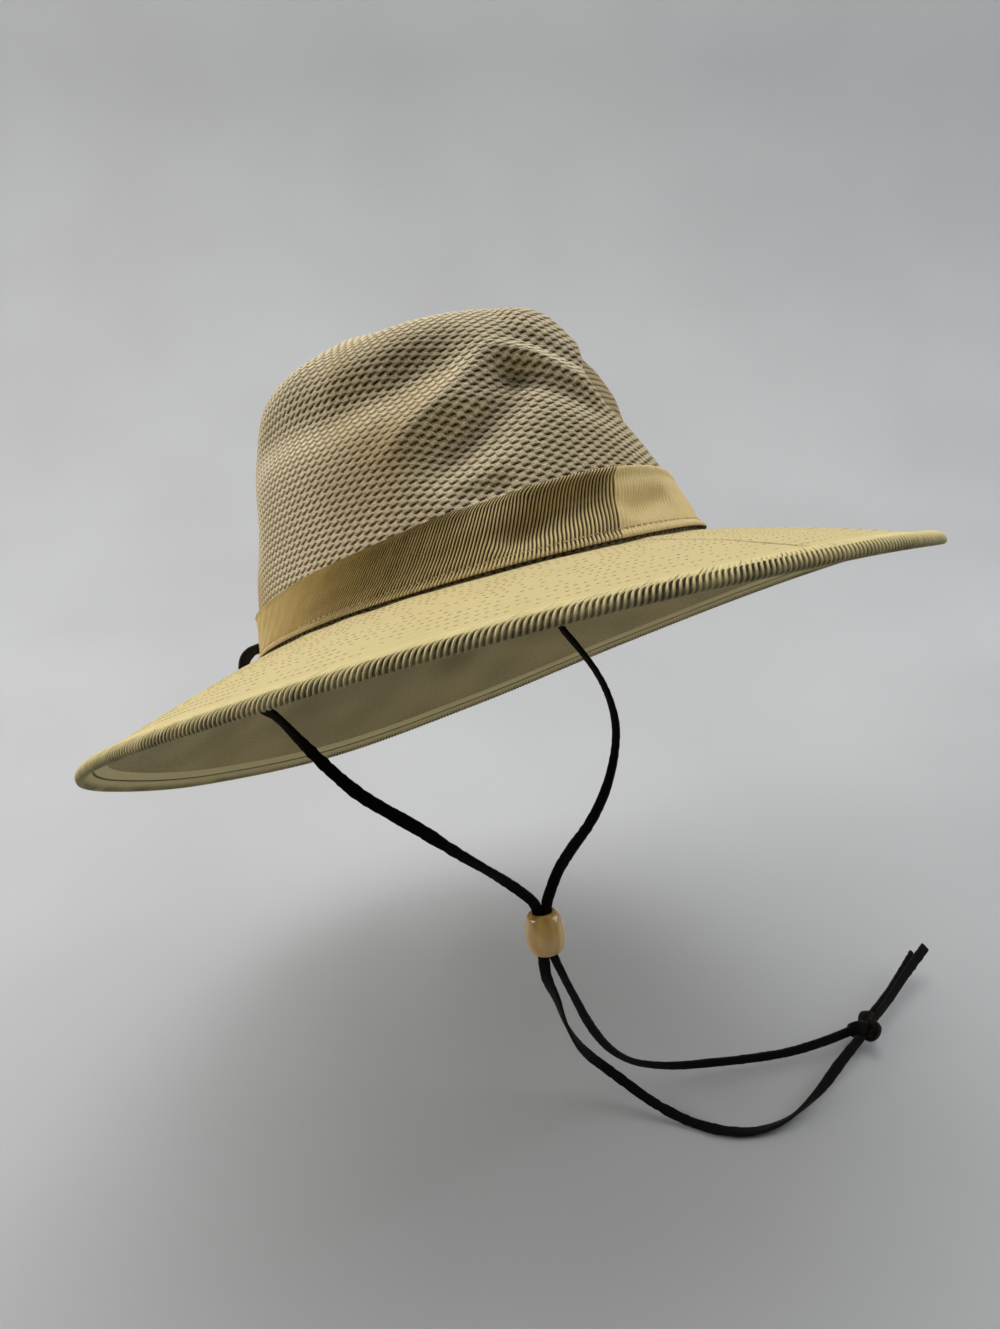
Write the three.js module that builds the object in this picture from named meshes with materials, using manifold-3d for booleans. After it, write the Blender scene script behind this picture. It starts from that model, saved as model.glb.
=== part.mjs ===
// Safari hat with a knit mesh crown, ribbed band, stitched brim and chin lace.
//
// Millimetres, +Z up. The front of the hat faces -Y and the wearer's right side is -X.
// The origin is the centre of the head opening. The hat is tipped back as it is worn,
// and its lace hangs through the bead down to a knot that lies below the wearer's left.

import * as THREE from "three";
import { mergeVertices } from "three/addons/utils/BufferGeometryUtils.js";
import Module from "manifold-3d";

const wasm = await Module();
wasm.setup();

// How the hat sits on the head.
const TIP_BACK = THREE.MathUtils.degToRad(34);
const LEAN_LEFT = THREE.MathUtils.degToRad(4);

// Cloth.
const AROUND = 60;
const FIT_GAP = 0.3;
const KNIT_WALL = 1.2;
const BAND_WALL = 1.2;
const BRIM_WALL = 2.4;

// Head opening: the outside of the crown at its seam with the brim.
const CROWN_HALF_BREADTH = 85.5;
const CROWN_HALF_LENGTH = 101.5;

// Band, by height above the seam: it swells a little at its folded edges, and is lower at the sides.
const BAND_SIDE_DIP = 0.25;
const BAND_EDGE_BEAD = 0.5;
const BAND_HOLLOW = 0.4;
const BAND_RINGS = [
  { height: 1, swell: BAND_EDGE_BEAD },
  { height: 4, swell: 0 },
  { height: 12, swell: -BAND_HOLLOW },
  { height: 18, swell: -BAND_HOLLOW / 2 },
  { height: 23, swell: BAND_EDGE_BEAD },
  { height: 24, swell: 0 },
];

// Heights of the rings the crown is built from; the lowest are shared with the band.
const CROWN_RINGS = [
  0, 1, 4, 12, 18, 23, 24, 32, 40, 47, 53, 59, 65, 71, 76, 81, 86, 90, 94, 98, 102, 105, 107.5, 109.4,
];
const SEAM_WAVE_FADE = 40;

// Brim slots for the lace, measured from the front towards the wearer's right.
const SLOT_TURN = 122;
const SLOT_OUTSET = 9.5;
const SLOT_SIZE = { along: 8, across: 4.6, deep: 16 };

// Lace, bead and knot.
const LACE_DIAMETER = 3.2;
const LACE_SIDES = 8;
const LACE_BACK_STEPS = 22;
const BEAD_RADIUS = 7.8;
const BEAD_END_RADIUS = 5.6;
const BEAD_BORE_RADIUS = 3.9;
const BEAD_LENGTH = 18;
const KNOT_SIZE = { along: 15, across: 13, deep: 11 };

// Upright sections of the crown, from the seam to the top.
const CROWN_SECTIONS = [
  { height: 0, halfBreadth: 85.5, halfLength: 101.5, shift: 0 },
  { height: 14, halfBreadth: 83.5, halfLength: 97.5, shift: 0 },
  { height: 30, halfBreadth: 80.5, halfLength: 92.5, shift: -1 },
  { height: 50, halfBreadth: 77, halfLength: 85.5, shift: -4 },
  { height: 68, halfBreadth: 73, halfLength: 78, shift: -5 },
  { height: 83, halfBreadth: 67, halfLength: 71.5, shift: -5 },
  { height: 94, halfBreadth: 58, halfLength: 62.5, shift: -4 },
  { height: 102, halfBreadth: 47, halfLength: 52, shift: -3 },
  { height: 107, halfBreadth: 35, halfLength: 40, shift: -1 },
  { height: 109.5, halfBreadth: 20, halfLength: 24, shift: 2 },
  { height: 110, halfBreadth: 0, halfLength: 0, shift: 4 },
];

// Folds of the soft crown: the line each follows, how wide it is, and where it pushes the cloth.
const CROWN_FOLDS = [
  {
    name: "gutter above the right shelf",
    line: [[-80, 14, 80], [-74, -12, 79], [-61, -40, 75], [-44, -57, 74], [-28, -68, 75], [-10, -74, 81]],
    reach: 11,
    push: [6, 8, 0],
  },
  {
    name: "right pinch",
    line: [[-6, -84, 74], [-24, -80, 61], [-43, -73, 47], [-66, -56, 28]],
    reach: 15,
    push: [6, 11, 0],
  },
  {
    name: "fold under the front ridge",
    line: [[-22, -78, 70], [-8, -83, 65], [6, -88, 56], [20, -90, 44]],
    reach: 5.5,
    push: [1.5, 4, -0.5],
  },
  {
    name: "front apex",
    line: [[28, -66, 86], [12, -72, 88], [-4, -72, 86]],
    reach: 9,
    push: [2, -3, 4],
  },
  {
    name: "left pinch",
    line: [[24, -84, 78], [40, -78, 62], [56, -66, 46], [70, -48, 30]],
    reach: 18,
    push: [-7, 9, 0],
  },
  {
    name: "left gutter",
    line: [[18, -70, 92], [44, -52, 88], [60, -28, 86], [66, 4, 84]],
    reach: 14,
    push: [-6, 5, -3],
  },
];

// Brim rim all round: width of the brim and how far the rim hangs below the seam.
const RIM_SECTIONS = [
  { turn: 0, width: 76, drop: 29 },
  { turn: 30, width: 76, drop: 25 },
  { turn: 60, width: 76, drop: 23 },
  { turn: 90, width: 76, drop: 22 },
  { turn: 120, width: 76, drop: 26.5 },
  { turn: 150, width: 76, drop: 35 },
  { turn: 180, width: 76, drop: 40 },
  { turn: 210, width: 76, drop: 35 },
  { turn: 240, width: 76, drop: 26.5 },
  { turn: 270, width: 76, drop: 22 },
  { turn: 300, width: 76, drop: 23.5 },
  { turn: 330, width: 76, drop: 30.5 },
];

// Cross-section of the brim from its inner edge, over the rolled rim and back underneath.
const BRIM_PROFILE = [
  { across: 0, lift: 0 },
  { across: 0.12, lift: 0 },
  { across: 0.4, lift: 0 },
  { across: 0.68, lift: 0 },
  { across: 0.92, lift: 0.1 },
  { across: 0.965, lift: 1.1 },
  { across: 0.992, lift: 0.5 },
  { across: 1, lift: -1.2 },
  { across: 0.992, lift: -2.9 },
  { across: 0.965, lift: -3.5 },
  { across: 0.92, lift: -2.5 },
  { across: 0.68, lift: -BRIM_WALL },
  { across: 0.4, lift: -BRIM_WALL },
  { across: 0.12, lift: -BRIM_WALL },
  { across: 0, lift: -BRIM_WALL },
];

// Lace over the brim round the back of the crown, from the right slot to the left one.
const LACE_BACK_ROUTE = [
  { turn: 122, outset: 9.5, rise: -5 },
  { turn: 122, outset: 9.5, rise: -1 },
  { turn: 122.3, outset: 9.9, rise: 3.8 },
  { turn: 124, outset: 9.6, rise: 8.2 },
  { turn: 128, outset: 7.6, rise: 11.6 },
  { turn: 135, outset: 5.4, rise: 13.4 },
  { turn: 147, outset: 4.4, rise: 13 },
  { turn: 163, outset: 4, rise: 11.5 },
  { turn: 180, outset: 4, rise: 10.5 },
  { turn: 197, outset: 4, rise: 11.5 },
  { turn: 213, outset: 4.4, rise: 13 },
  { turn: 225, outset: 5.4, rise: 13.4 },
  { turn: 232, outset: 7.6, rise: 11.6 },
  { turn: 236, outset: 9.6, rise: 8.2 },
  { turn: 237.7, outset: 9.9, rise: 3.8 },
  { turn: 238, outset: 9.5, rise: -1 },
  { turn: 238, outset: 9.5, rise: -5 },
];

// Lace below the brim, as it hangs: right slot, cheek, bead, floor and knot.
const LACE_RIGHT_ROUTE = [
  [-80.86, 47.99, -34.05], [-80.9, 46.6, -36.3], [-80.3, 42, -38.6], [-79, 31, -38.6],
  [-78, 13.5, -41.6], [-75.2, -4.4, -47.2], [-70.8, -18.8, -52.9], [-64.6, -29.8, -57.8],
  [-57.5, -39.3, -63.5], [-46.8, -50.2, -73.8], [-34.9, -59.2, -85], [-27.6, -63.6, -93],
  [-23.2, -66.4, -99], [-22, -67.5, -103.4], [-23.3, -73.1, -120], [-23.3, -75.4, -131],
  [-18.5, -76.8, -146], [-13.5, -77.2, -162], [-5.6, -77.5, -180], [1.6, -78.2, -192],
  [8.1, -79.8, -201], [17, -86, -212.5], [22.9, -95.4, -219], [28.2, -105.6, -222.5],
  [33.3, -114.5, -224.2], [41.2, -125.8, -224.2], [51.7, -134.1, -224.2], [66.7, -139.3, -223.5],
  [88.2, -139.7, -221.5], [111.2, -136.5, -219], [127.5, -134.4, -217.4],
];
const LACE_LEFT_ROUTE = [
  [79.88, 41.7, -43.36], [79.7, 40.2, -45.6], [79.1, 35.5, -48.4], [77.2, 21, -52.8],
  [74, 4, -58.5], [68, -11, -63.5], [59, -25, -69], [47, -36.5, -75.5], [33, -46, -82],
  [18, -53.5, -86.5], [3, -59, -89.5], [-8, -63.5, -92.5], [-14.8, -67, -96.5],
  [-18.2, -68.8, -99.8], [-19, -69.7, -103], [-20.3, -75.3, -119.6], [-17.4, -78.8, -131.3],
  [-11.7, -80.6, -146.3], [-4.4, -81.7, -164], [5, -82, -182], [13.9, -83, -195],
  [23.7, -85, -205], [34.1, -88.8, -211], [45, -93.4, -214.8], [58.2, -99.5, -217],
  [75.3, -108.2, -218.5], [95, -117.8, -219], [113.8, -124.6, -218.5], [127.7, -129.2, -217],
];
const KNOT_CENTRE = [135.5, -132, -217];
const TAIL_RIGHT_ROUTE = [
  [143.6, -131.9, -216.2], [159.9, -129.2, -215], [172.9, -126.6, -213.5], [186.9, -124.2, -212],
  [200.1, -122.2, -210],
];
const TAIL_LEFT_ROUTE = [
  [142.4, -127.9, -215.8], [159.9, -125.2, -214.5], [172.7, -122.6, -213], [184.5, -120.2, -212],
  [193.3, -118.4, -211],
];

/** Colour and finish of one piece of cloth, wood or suede. */
function finish(color, roughness) {
  return new THREE.MeshStandardMaterial({ color, roughness, metalness: 0 });
}

/** Named mesh with a material of its own. */
function piece(name, geometry, material) {
  const mesh = new THREE.Mesh(geometry, material);
  mesh.name = name;
  return mesh;
}

/** Value between four neighbours on a smooth curve, where t runs from the second to the third. */
function smoothBetween(before, from, to, after, t) {
  const rise = (to - before) / 2;
  const fall = (after - from) / 2;
  const bend = from - to;
  return from + t * (rise + t * (-3 * bend - 2 * rise - fall + t * (2 * bend + rise + fall)));
}

/** Columns of a table at a place between its rows. */
function tableAt(rows, place, columns, closed = false) {
  const count = rows.length;
  const first = Math.min(Math.floor(place), closed ? count : count - 2);
  const row = (i) => rows[closed ? (i + count) % count : THREE.MathUtils.clamp(i, 0, count - 1)];
  const values = columns.map((key) => {
    const [before, from, to, after] = [-1, 0, 1, 2].map((step) => row(first + step)[key]);
    return [key, smoothBetween(before, from, to, after, place - first)];
  });
  return Object.fromEntries(values);
}

/** Height of the seam between crown and brim: low at front and back, high at the sides. */
function seamHeight(turn) {
  return -1.8 * Math.cos(2 * turn) - 0.7 * Math.cos(turn);
}

/** Point on an oval, at an angle from the front towards the wearer's right. */
function ovalPoint(halfBreadth, halfLength, turn, height, shift = 0) {
  return new THREE.Vector3(-halfBreadth * Math.sin(turn), shift - halfLength * Math.cos(turn), height);
}

/** Distance from a point to a line of short stretches, and how far along it (0 to 1) that is. */
function nearestOnLine(point, line) {
  let nearest = { distance: Infinity, along: 0 };
  const foot = new THREE.Vector3();
  for (let i = 0; i < line.length - 1; i += 1) {
    const stretch = new THREE.Line3(new THREE.Vector3(...line[i]), new THREE.Vector3(...line[i + 1]));
    const part = stretch.closestPointToPointParameter(point, true);
    const distance = stretch.at(part, foot).distanceTo(point);
    if (distance < nearest.distance) nearest = { distance, along: (i + part) / (line.length - 1) };
  }
  return nearest;
}

/** Point moved by the folds of the soft crown; each fold fades out at both its ends. */
function folded(point) {
  const moved = point.clone();
  for (const { line, reach, push } of CROWN_FOLDS) {
    const { distance, along } = nearestOnLine(point, line);
    const fade = (1 - (2 * along - 1) ** 4) ** 2;
    moved.addScaledVector(new THREE.Vector3(...push), fade * Math.exp(-((distance / reach) ** 2)));
  }
  return moved;
}

/** Section of the crown at a height, found by halving the table's range. */
function crownSection(height) {
  let [low, high] = [0, CROWN_SECTIONS.length - 1];
  let section = CROWN_SECTIONS[0];
  for (let halving = 0; halving < 24; halving += 1) {
    const middle = (low + high) / 2;
    section = tableAt(CROWN_SECTIONS, middle, ["height", "halfBreadth", "halfLength", "shift"]);
    if (section.height < height) low = middle;
    else high = middle;
  }
  return section;
}

/** Point on the outside of the crown at a height above the seam. */
function crownPoint(turn, height) {
  const { halfBreadth, halfLength, shift } = crownSection(height);
  const level = height + FIT_GAP + seamHeight(turn) * Math.max(0, 1 - height / SEAM_WAVE_FADE);
  return folded(ovalPoint(halfBreadth, halfLength, turn, level, shift));
}

/** Outward direction of the crown's surface. */
function crownNormal(turn, height) {
  const [part, step] = [0.01, 0.3];
  const low = Math.max(height - step, 0);
  const round = crownPoint(turn + part, height).sub(crownPoint(turn - part, height));
  const rise = crownPoint(turn, height + step).sub(crownPoint(turn, low));
  return rise.cross(round).normalize();
}

/** Closed geometry from rings of points, joined ring to ring; the loop option joins last to first. */
function ringSolid(rings, loop) {
  const around = rings[0].length;
  const position = rings.flat().flatMap((point) => point.toArray());
  const index = [];
  const rows = loop ? rings.length : rings.length - 1;
  for (let row = 0; row < rows; row += 1) {
    const next = (row + 1) % rings.length;
    for (let i = 0; i < around; i += 1) {
      const j = (i + 1) % around;
      const [a, b, c, d] = [row * around + i, row * around + j, next * around + i, next * around + j];
      index.push(a, c, b, b, c, d);
    }
  }
  if (!loop) closeEnd(position, index, rings, 0, true);
  if (!loop) closeEnd(position, index, rings, rings.length - 1, false);
  const geometry = new THREE.BufferGeometry();
  geometry.setAttribute("position", new THREE.Float32BufferAttribute(position, 3));
  geometry.setIndex(index);
  return facingOut(geometry);
}

/** Fan of triangles that closes a ring at its middle. */
function closeEnd(position, index, rings, row, first) {
  const ring = rings[row];
  const middle = ring.reduce((sum, point) => sum.add(point), new THREE.Vector3()).divideScalar(ring.length);
  const centre = position.push(...middle.toArray()) / 3 - 1;
  for (let i = 0; i < ring.length; i += 1) {
    const [a, b] = [row * ring.length + i, row * ring.length + ((i + 1) % ring.length)];
    index.push(...(first ? [centre, a, b] : [centre, b, a]));
  }
}

/** The same geometry with its triangles turned to face out. */
function facingOut(geometry) {
  const index = geometry.getIndex();
  const position = geometry.getAttribute("position");
  const corner = (i) => new THREE.Vector3().fromBufferAttribute(position, index.getX(i));
  let volume = 0;
  for (let i = 0; i < index.count; i += 3) {
    volume += corner(i).dot(corner(i + 1).cross(corner(i + 2)));
  }
  if (volume < 0) {
    for (let i = 0; i < index.count; i += 3) {
      const [b, c] = [index.getX(i + 1), index.getX(i + 2)];
      index.setX(i + 1, c);
      index.setX(i + 2, b);
    }
  }
  geometry.computeVertexNormals();
  return geometry;
}

/** Full circle of angles, in radians. */
function turns(count) {
  return Array.from({ length: count }, (_, i) => (i / count) * 2 * Math.PI);
}

/** Knit crown: an open shell with the wall's thickness. */
function crownGeometry() {
  const around = turns(AROUND);
  const outer = CROWN_RINGS.map((height) => around.map((turn) => crownPoint(turn, height)));
  const inner = CROWN_RINGS.map((height) =>
    around.map((turn) => crownPoint(turn, height).addScaledVector(crownNormal(turn, height), -KNIT_WALL)));
  return ringSolid([...outer.reverse(), ...inner], false);
}

/** Point of the band: on the crown's outside, moved out level by an outset. */
function bandPoint(turn, height, outset) {
  const level = height * (1 - BAND_SIDE_DIP * Math.sin(turn) ** 2);
  const out = crownNormal(turn, level).setZ(0).normalize();
  return crownPoint(turn, level).addScaledVector(out, outset);
}

/** Ribbed band round the foot of the crown, with a folded top edge. */
function bandGeometry() {
  const around = turns(AROUND);
  const ring = (height, outset) => around.map((turn) => bandPoint(turn, height, outset));
  const outer = BAND_RINGS.map(({ height, swell }) => ring(height, FIT_GAP + BAND_WALL + swell));
  const inner = BAND_RINGS.map(({ height }) => ring(height, FIT_GAP));
  return ringSolid([...outer, ...inner.reverse()], true);
}

/** Point on the brim, from its inner edge to the rim, lifted off its upper surface. */
function brimPoint(turn, across, lift) {
  const place = (turn / (2 * Math.PI)) * RIM_SECTIONS.length;
  const rim = tableAt(RIM_SECTIONS, place, ["width", "drop"], true);
  const inner = -KNIT_WALL;
  const outset = inner + across * (rim.width + BAND_WALL + FIT_GAP - inner);
  const fall = rim.drop * (0.8 * across + 0.2 * across * across);
  const height = seamHeight(turn) * (1 - across) - fall + lift;
  return ovalPoint(CROWN_HALF_BREADTH + outset, CROWN_HALF_LENGTH + outset, turn, height);
}

/** Solid for joining and cutting. */
function toManifold(geometry) {
  const bare = geometry.clone();
  bare.deleteAttribute("normal");
  bare.deleteAttribute("uv");
  const merged = mergeVertices(bare);
  const mesh = new wasm.Mesh({
    numProp: 3,
    vertProperties: new Float32Array(merged.getAttribute("position").array),
    triVerts: new Uint32Array(merged.getIndex().array),
  });
  return new wasm.Manifold(mesh);
}

/** Geometry of a joined or cut solid. */
function fromManifold(solid) {
  const mesh = solid.getMesh();
  const geometry = new THREE.BufferGeometry();
  geometry.setAttribute("position", new THREE.Float32BufferAttribute(mesh.vertProperties, 3));
  geometry.setIndex(Array.from(mesh.triVerts));
  geometry.computeVertexNormals();
  return geometry;
}

/** Cutter for one lace slot through the brim. */
function slotCutter(degrees) {
  const turn = THREE.MathUtils.degToRad(degrees);
  const box = new THREE.BoxGeometry(SLOT_SIZE.along, SLOT_SIZE.across, SLOT_SIZE.deep);
  const place = lacePoint({ turn: degrees, outset: SLOT_OUTSET, rise: 0 });
  box.rotateZ(-turn);
  box.translate(place.x, place.y, place.z);
  return toManifold(box);
}

/** Stitched brim with its rolled rim and the two lace slots. */
function brimGeometry() {
  const around = turns(72);
  const rings = BRIM_PROFILE.map(({ across, lift }) => around.map((turn) => brimPoint(turn, across, lift)));
  let brim = toManifold(ringSolid(rings, true));
  for (const degrees of [SLOT_TURN, 360 - SLOT_TURN]) {
    brim = brim.subtract(slotCutter(degrees));
  }
  return fromManifold(brim);
}

/** Point of the lace on the brim, from its turn, outset from the seam and rise off the brim. */
function lacePoint({ turn, outset, rise }) {
  const angle = THREE.MathUtils.degToRad(turn);
  const across = outset / (RIM_SECTIONS[0].width + KNIT_WALL);
  const below = brimPoint(angle, across, 0);
  const rim = ovalPoint(CROWN_HALF_BREADTH + outset, CROWN_HALF_LENGTH + outset, angle, 0);
  return new THREE.Vector3(rim.x, rim.y, below.z + rise);
}

/** Round lace along a list of points, in equal steps from point to point of the list. */
function laceGeometry(points, steps = points.length - 1) {
  const radius = LACE_DIAMETER / 2;
  const corner = (turn) => new THREE.Vector2(radius * Math.cos(turn), radius * Math.sin(turn));
  const corners = turns(LACE_SIDES).map(corner);
  const path = new THREE.CatmullRomCurve3(points, false, "centripetal");
  path.getUtoTmapping = (part) => part;
  const tube = new THREE.ExtrudeGeometry(new THREE.Shape(corners), { extrudePath: path, steps });
  tube.deleteAttribute("normal");
  tube.deleteAttribute("uv");
  return facingOut(mergeVertices(tube, 0.001));
}

/** Route given as a list of coordinates. */
function route(list) {
  return list.map((values) => new THREE.Vector3(...values));
}

/** Drilled barrel bead, turned round its bore. */
function beadGeometry() {
  const half = BEAD_LENGTH / 2;
  const barrel = Array.from({ length: 7 }, (_, i) => {
    const along = -1 + i / 3;
    const radius = BEAD_END_RADIUS + (BEAD_RADIUS - BEAD_END_RADIUS) * Math.sqrt(1 - along * along);
    return new THREE.Vector2(radius, along * half);
  });
  const bore = [new THREE.Vector2(BEAD_BORE_RADIUS, half), new THREE.Vector2(BEAD_BORE_RADIUS, -half)];
  const lathe = new THREE.LatheGeometry([...barrel, ...bore, barrel[0]], 16);
  lathe.deleteAttribute("normal");
  lathe.deleteAttribute("uv");
  return facingOut(mergeVertices(lathe, 0.001));
}

/** Bead threaded on both sides of the lace. */
function beadPiece() {
  const top = new THREE.Vector3(-20.5, -68.6, -103.2);
  const bottom = new THREE.Vector3(-21.8, -74.2, -119.8);
  const bead = piece("bead", beadGeometry(), finish(0xc8a468, 0.3));
  bead.position.copy(top).lerp(bottom, 0.5);
  bead.quaternion.setFromUnitVectors(new THREE.Vector3(0, 1, 0), top.sub(bottom).normalize());
  return bead;
}

/** Pulled-tight knot as one rounded lump. */
function knotPiece() {
  const lump = new THREE.SphereGeometry(0.5, 12, 8).scale(KNOT_SIZE.along, KNOT_SIZE.across, KNOT_SIZE.deep);
  lump.deleteAttribute("normal");
  lump.deleteAttribute("uv");
  const knot = piece("knot", facingOut(mergeVertices(lump, 0.001)), finish(0x17120f, 0.9));
  knot.position.set(...KNOT_CENTRE);
  return knot;
}

/** Hat proper, level in its own frame: crown, band, brim and the lace that lies on it. */
function hatGroup() {
  const hat = new THREE.Group();
  hat.rotation.set(-TIP_BACK, LEAN_LEFT, 0, "XYZ");
  hat.add(
    piece("crown", crownGeometry(), finish(0xa8977a, 0.95)),
    piece("hat_band", bandGeometry(), finish(0xb5a067, 0.9)),
    piece("brim", brimGeometry(), finish(0xd0c18b, 0.9)),
    piece("lace_back", laceGeometry(LACE_BACK_ROUTE.map(lacePoint), LACE_BACK_STEPS), finish(0x17120f, 0.9)),
  );
  return hat;
}

/** Lace below the brim, its bead and its knot. */
function lacePieces() {
  const suede = () => finish(0x17120f, 0.9);
  return [
    piece("lace_right", laceGeometry(route(LACE_RIGHT_ROUTE)), suede()),
    piece("lace_left", laceGeometry(route(LACE_LEFT_ROUTE)), suede()),
    beadPiece(),
    knotPiece(),
    piece("tail_right", laceGeometry(route(TAIL_RIGHT_ROUTE)), suede()),
    piece("tail_left", laceGeometry(route(TAIL_LEFT_ROUTE)), suede()),
  ];
}

const safariHat = new THREE.Group();
safariHat.add(hatGroup(), ...lacePieces());

export default safariHat;
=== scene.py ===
"""Safari hat as it is worn: knit mesh crown, ribbed band, stitched brim and a suede chin lace.

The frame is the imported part's own, +Z up, with the front of the hat towards -Y and the wearer's
right side towards -X. Cloth is laid out in millimetres in the hat's level frame, then tipped back
into place in metres.
"""

import logging
import math
from dataclasses import dataclass, field
from enum import Enum
from typing import Callable, NamedTuple, Sequence

import bpy
import numpy as np
from mathutils import Matrix, Vector


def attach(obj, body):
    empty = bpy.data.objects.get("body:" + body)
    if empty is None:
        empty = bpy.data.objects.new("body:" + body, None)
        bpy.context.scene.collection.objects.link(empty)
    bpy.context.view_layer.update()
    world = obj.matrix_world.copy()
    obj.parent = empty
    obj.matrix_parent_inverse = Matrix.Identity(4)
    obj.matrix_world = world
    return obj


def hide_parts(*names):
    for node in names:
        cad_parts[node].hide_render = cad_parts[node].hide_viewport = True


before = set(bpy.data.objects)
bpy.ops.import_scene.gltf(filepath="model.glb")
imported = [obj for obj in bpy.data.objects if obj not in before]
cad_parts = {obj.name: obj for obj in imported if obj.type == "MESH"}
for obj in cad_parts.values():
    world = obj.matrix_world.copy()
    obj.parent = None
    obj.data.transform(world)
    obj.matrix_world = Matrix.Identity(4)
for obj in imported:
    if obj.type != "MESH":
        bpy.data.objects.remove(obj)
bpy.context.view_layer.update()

LOG = logging.getLogger("safari_hat")
MM = 0.001
BODY = "root"
SEED = 7
TURN = 2 * math.pi

# Camera: where it stands, the way it looks, and its lens and sensor in millimetres.
CAMERA_PLACE = (-0.2305, -0.3102, 0.1780)
CAMERA_AIM = (0.5436, 0.6958, -0.4695)
LENS_LENGTH = 28.17156
SENSOR_HEIGHT = 36.0

# How the hat sits on the head, and the floor that the lace lies on.
TIP_BACK = math.radians(34)
LEAN_LEFT = math.radians(4)
FLOOR_HEIGHT = -0.2261

# Hat sizes, in millimetres.
FIT_GAP = 0.3
KNIT_WALL = 1.2
BAND_WALL = 1.2
BRIM_WALL = 2.4
BRIM_OVERLAP = BAND_WALL + FIT_GAP + KNIT_WALL
CROWN_HALF_BREADTH = 85.5
CROWN_HALF_LENGTH = 101.5
SEAM_WAVE_FADE = 40.0
CROWN_TOP = 110.0

# Knit stitch: gap from pore to pore along a row, from row to row, and how far each row is shifted.
KNIT_PITCH = 3.4
KNIT_ROW = 2.58
KNIT_SHIFT = 1.42


class CrownSection(NamedTuple):
    """Level section of the crown: an oval with its two half widths and its shift to the back."""

    height: float
    half_breadth: float
    half_length: float
    shift: float


class Fold(NamedTuple):
    """Fold of the soft crown: the line it follows, how wide it is and where it pushes the cloth."""

    name: str
    line: tuple
    reach: float
    push: tuple


class RimSection(NamedTuple):
    """Brim width and how far the rim hangs below the seam, at one turn from the front."""

    turn: float
    width: float
    drop: float


class RollPoint(NamedTuple):
    """Point of the brim's cross-section: place across the brim and lift off its upper surface."""

    across: float
    lift: float


CROWN_SECTIONS = (
    CrownSection(0, 85.5, 101.5, 0), CrownSection(14, 83.5, 97.5, 0), CrownSection(30, 80.5, 92.5, -1),
    CrownSection(50, 77, 85.5, -4), CrownSection(68, 73, 78, -5), CrownSection(83, 67, 71.5, -5),
    CrownSection(94, 58, 62.5, -4), CrownSection(102, 47, 52, -3), CrownSection(107, 35, 40, -1),
    CrownSection(109.5, 20, 24, 2), CrownSection(110, 0, 0, 4),
)

CROWN_FOLDS = (
    Fold("gutter above the right shelf",
         ((-76, 24, 80), (-70, -3, 78), (-63, -41, 73), (-47, -61, 73), (-32, -70, 76), (-15, -74, 83)),
         10.5, (6, 8.5, -0.5)),
    Fold("crest of the fan", ((-9, -79, 79), (-21, -78, 72), (-38, -75, 61), (-51, -67, 53), (-62, -57, 44)),
         4.6, (-1.2, -2.2, 0.5)),
    Fold("right pinch", ((-5, -83, 72), (-17, -84, 59), (-34, -80, 46), (-54, -68, 31)), 9, (4.4, 8.6, 0)),
    Fold("fold under the front ridge", ((-20, -80, 67), (-6, -86, 60), (8, -89, 50), (26, -88, 40)),
         5.5, (1.0, 3.0, -0.3)),
    Fold("crest of the front ridge", ((-17, -79, 77), (-3, -83, 70), (9, -86, 61), (26, -86, 48)),
         3.6, (-0.6, -2.4, 1.0)),
    Fold("crease above the front ridge", ((-12, -77, 82), (4, -80, 76), (18, -81, 68), (34, -80, 57)),
         4.0, (0.7, 2.4, -0.6)),
    Fold("front apex", ((28, -66, 86), (12, -72, 88), (-4, -72, 86)), 9, (-0.3, -0.3, 2.4)),
    Fold("left pinch", ((27, -83, 74), (40, -78, 62), (56, -66, 46), (70, -48, 30)), 18, (-7, 9, 0)),
    Fold("left gutter", ((18, -70, 92), (44, -52, 88), (60, -28, 86), (66, 4, 84)), 14, (-6, 5, -3)),
    Fold("ridge beside the pinch", ((-42, -75, 52), (-31, -80, 58), (-18, -85, 58), (-1, -88, 55)),
         4.2, (-1.1, -2.2, 0.4)),
    Fold("hollow beside the pinch", ((-53, -70, 40), (-40, -78, 41), (-27, -85, 43), (-13, -88, 45)),
         7.5, (0.8, 1.6, 0)),
    Fold("hollow above the band", ((-48, -77, 26), (-38, -84, 25), (-26, -90, 25)), 5.5, (1.5, 3.0, 0)),
    Fold("hollow across the band", ((4, -98, 17), (-16, -95, 12), (-32, -91, 8), (-44, -85, 4)), 6,
         (3.0, 5.6, 0)),
    Fold("small hollow in the band", ((32, -91, 12), (16, -97, 9), (0, -99, 5)), 4.8, (-0.4, 3.0, 0)),
    Fold("sunk top", ((-36, -22, 106), (-28, -36, 105), (-14, -46, 105), (4, -52, 102), (14, -66, 92)),
         13, (0.3, 0.6, -3.6)),
    Fold("full right shoulder", ((-40, 34, 101), (-58, 14, 97), (-60, -14, 97), (-50, -34, 99)),
         13, (-3.4, 0.6, 1.4)),
    Fold("hollow of the right flank", ((-72, 34, 72), (-76, 28, 54), (-80, 26, 34)), 10, (1.7, -0.7, 0)),
    Fold("flat of the left flank", ((26, -76, 76), (52, -58, 68), (60, -50, 60)), 8, (-1.2, 0.9, 0)),
)

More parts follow.
